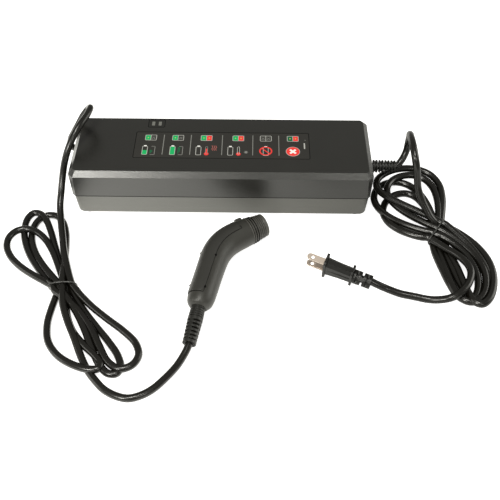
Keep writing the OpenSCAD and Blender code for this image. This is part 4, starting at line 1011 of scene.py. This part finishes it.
def ringSign(x):
    v = legend["ringSign"]
    y, r, line = v["y"], v["radius"], v["line"]
    addOutline("red", circle(x, y, r), circle(x, y, r - line), layers["sign"])
    d = (r - line / 2) * 0.71
    addPlate("red", bar(x - d, y + d, x + d, y - d, line * 0.8), layers["slash"])


def crossSign(x):
    v = legend["crossSign"]
    y, r = v["y"], v["radius"]
    addOutline("paleGrey", circle(x, y, r + v["rim"][0]), circle(x, y, r - v["rim"][1]))
    addPlate("red", circle(x, y, r), layers["mark"])
    d = r * 0.42
    for s in (-1, 1):
        arm = bar(x - d, y - s * d, x + d, y + s * d, v["arm"])
        addPlate("white", arm, layers["sign"] + s * layers["between"])


# Three leaning strokes one below the other, as rising heat is drawn.
def heatSign(x):
    v = legend["heat"]
    for k, s in enumerate((1, -1, 1)):
        y = v["y"] - v["step"] * k
        stroke = bar(x - v["lean"] * s, y, x + v["lean"] * s, y - v["step"], v["line"])
        addPlate("pink", stroke, layers["fill"] + 1.5 * layers["between"] * k)


def starSign():
    v = legend["star"]
    x, y = v["at"]
    for k in range(3):
        c, s = v["arm"] * math.cos(math.pi / 3 * k), v["arm"] * math.sin(math.pi / 3 * k)
        arm = bar(x - c, y - s, x + c, y + s, v["line"])
        addPlate("midGrey", arm, layers["fill"] + 3 * layers["between"] * k)


def makeLegend(v):
    for frameBox in v["frames"]:
        boxOutline("groove", *frameBox, layers["frame"])
    dividers = v["dividers"]
    for x in dividers["at"]:
        addPlate("midGrey", bar(x, dividers["bottom"], x, dividers["top"], dividers["line"]))
    for make, key in ((lampPair, "lampPairs"), (battery, "batteries"), (openSign, "openSigns"),
                      (thermometer, "thermometers"), (heatSign, "heatSigns")):
        for place in v[key]:
            make(*place)
    starSign()
    ringSign(v["ringAt"])
    crossSign(v["crossAt"])
    addPlate("paleGrey", bar(*v["mark"]))
    addPlate("midGrey", circle(*v["point"], 10))


makeLegend(legend)
for colour, bm in printMeshes.items():
    bmesh.ops.recalc_face_normals(bm, faces=bm.faces)
    name = "print" + colour[0].upper() + colour[1:]
    o = newObject(name, meshOf(bm, name), colour)
    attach(o, "root")
print("legend printed", len(printMeshes))

for o, covers in ((mainsCable, ("mains_cord_lead", "mains_cord_hank", "mains_cord_tail")),
                  (outputCable, ("dc_cord_lead", "dc_cord_hank", "dc_cord_tail"))):
    o.data.materials.append(materials["cordJacket"])
    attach(o, "root")
    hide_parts(*covers)


# "left" and "right" hold a place along X and the strength of the floor's light from there on.
studio = {"reach": 6, "floor": 0.72, "matt": 0.9, "shine": 0.1, "glow": 0.85, "left": (-0.12, 1.25),
          "right": (0.13, 0.1), "seen": 1.0, "felt": 0.32, "tint": (1, 0.99, 0.92, 1)}
# Place, target, size and power of each lamp.
lights = {
    "keyBox": ((-0.5, -0.93, 0.8), (-0.12, -0.04, 0.05), (0.28, 0.28), 9),
    "topBox": ((-0.1, -0.5, 1.7), (0, -0.1, 0), (0.4, 0.4), 15),
    "rightBox": ((0.45, -0.93, 0.8), (0.16, -0.04, 0.05), (0.3, 0.2), 1.6),
    "rimBox": ((1.3, 0.3, 0.45), (0, -0.1, 0.02), (0.8, 0.8), 6),
    "sideBox": ((-1.5, -0.5, 0.6), (0, -0.05, 0.02), (0.6, 0.6), 4),
}


# Puts one strength on an input for what the camera sees itself and another for all other light.
def splitLevel(tree, felt, seen, target):
    level = addNode(tree, "MapRange", To_Min=felt, To_Max=seen)
    wire(addNode(tree, "LightPath"), "Is Camera Ray", level, "Value")
    tree.links.new(level.outputs["Result"], target)
    return level


# Puts white on a colour input for what the camera sees itself and a warm tint for all other light.
def tintLight(tree, tint, target):
    mix = addNode(tree, "MixRGB", Color1=tint, Color2=(1, 1, 1, 1))
    wire(addNode(tree, "LightPath"), "Is Camera Ray", mix, "Fac")
    tree.links.new(mix.outputs["Color"], target)


def makeFloor(v):
    mesh = bpy.data.meshes.new("floor")
    corners = [(x * v["reach"], y * v["reach"], 0) for x, y in ((-1, -1), (1, -1), (1, 1), (-1, 1))]
    mesh.from_pydata(corners, [], [(0, 1, 2, 3)])
    floor = newObject("floor", mesh)
    m = bpy.data.materials.new("floor")
    m.use_nodes = True
    tree = m.node_tree
    main = tree.nodes["Principled BSDF"]
    setInputs(main, {"Base Color": (v["floor"], v["floor"], v["floor"], 1), "Roughness": v["matt"],
                     "Specular IOR Level": v["shine"]})
    tintLight(tree, v["tint"], main.inputs["Emission Color"])
    # the floor lights the charger's left end more than its right end
    across = addNode(tree, "SeparateXYZ")
    wire(addNode(tree, "NewGeometry"), "Position", across, "Vector")
    (x0, from0), (x1, from1) = v["left"], v["right"]
    fade = addNode(tree, "MapRange", From_Min=x0, To_Min=from0, From_Max=x1, To_Max=from1)
    wire(across, "X", fade, "Value")
    level = splitLevel(tree, 0, v["glow"], main.inputs["Emission Strength"])
    wire(fade, "Result", level, "To Min")
    mesh.materials.append(m)


# The backdrop is white where the camera sees it and darker in reflections and in the light it gives.
def makeWorld(v):
    world = bpy.data.worlds.new("studio")
    scene.world = world
    world.use_nodes = True
    back = world.node_tree.nodes["Background"]
    tintLight(world.node_tree, v["tint"], back.inputs["Color"])
    splitLevel(world.node_tree, v["felt"], v["seen"], back.inputs["Strength"])


def softBox(name, place, target, size, power):
    data = bpy.data.lights.new(name, "AREA")
    data.shape = "RECTANGLE"
    data.size, data.size_y = size
    data.energy = power
    data.color = studio["tint"][:3]
    o = newObject(name, data)
    o.location = place
    o.rotation_euler = (Vector(target) - Vector(place)).to_track_quat("-Z", "Y").to_euler()


makeFloor(studio)
makeWorld(studio)
for name, values in lights.items():
    softBox(name, *values)
print("floor and lights set")
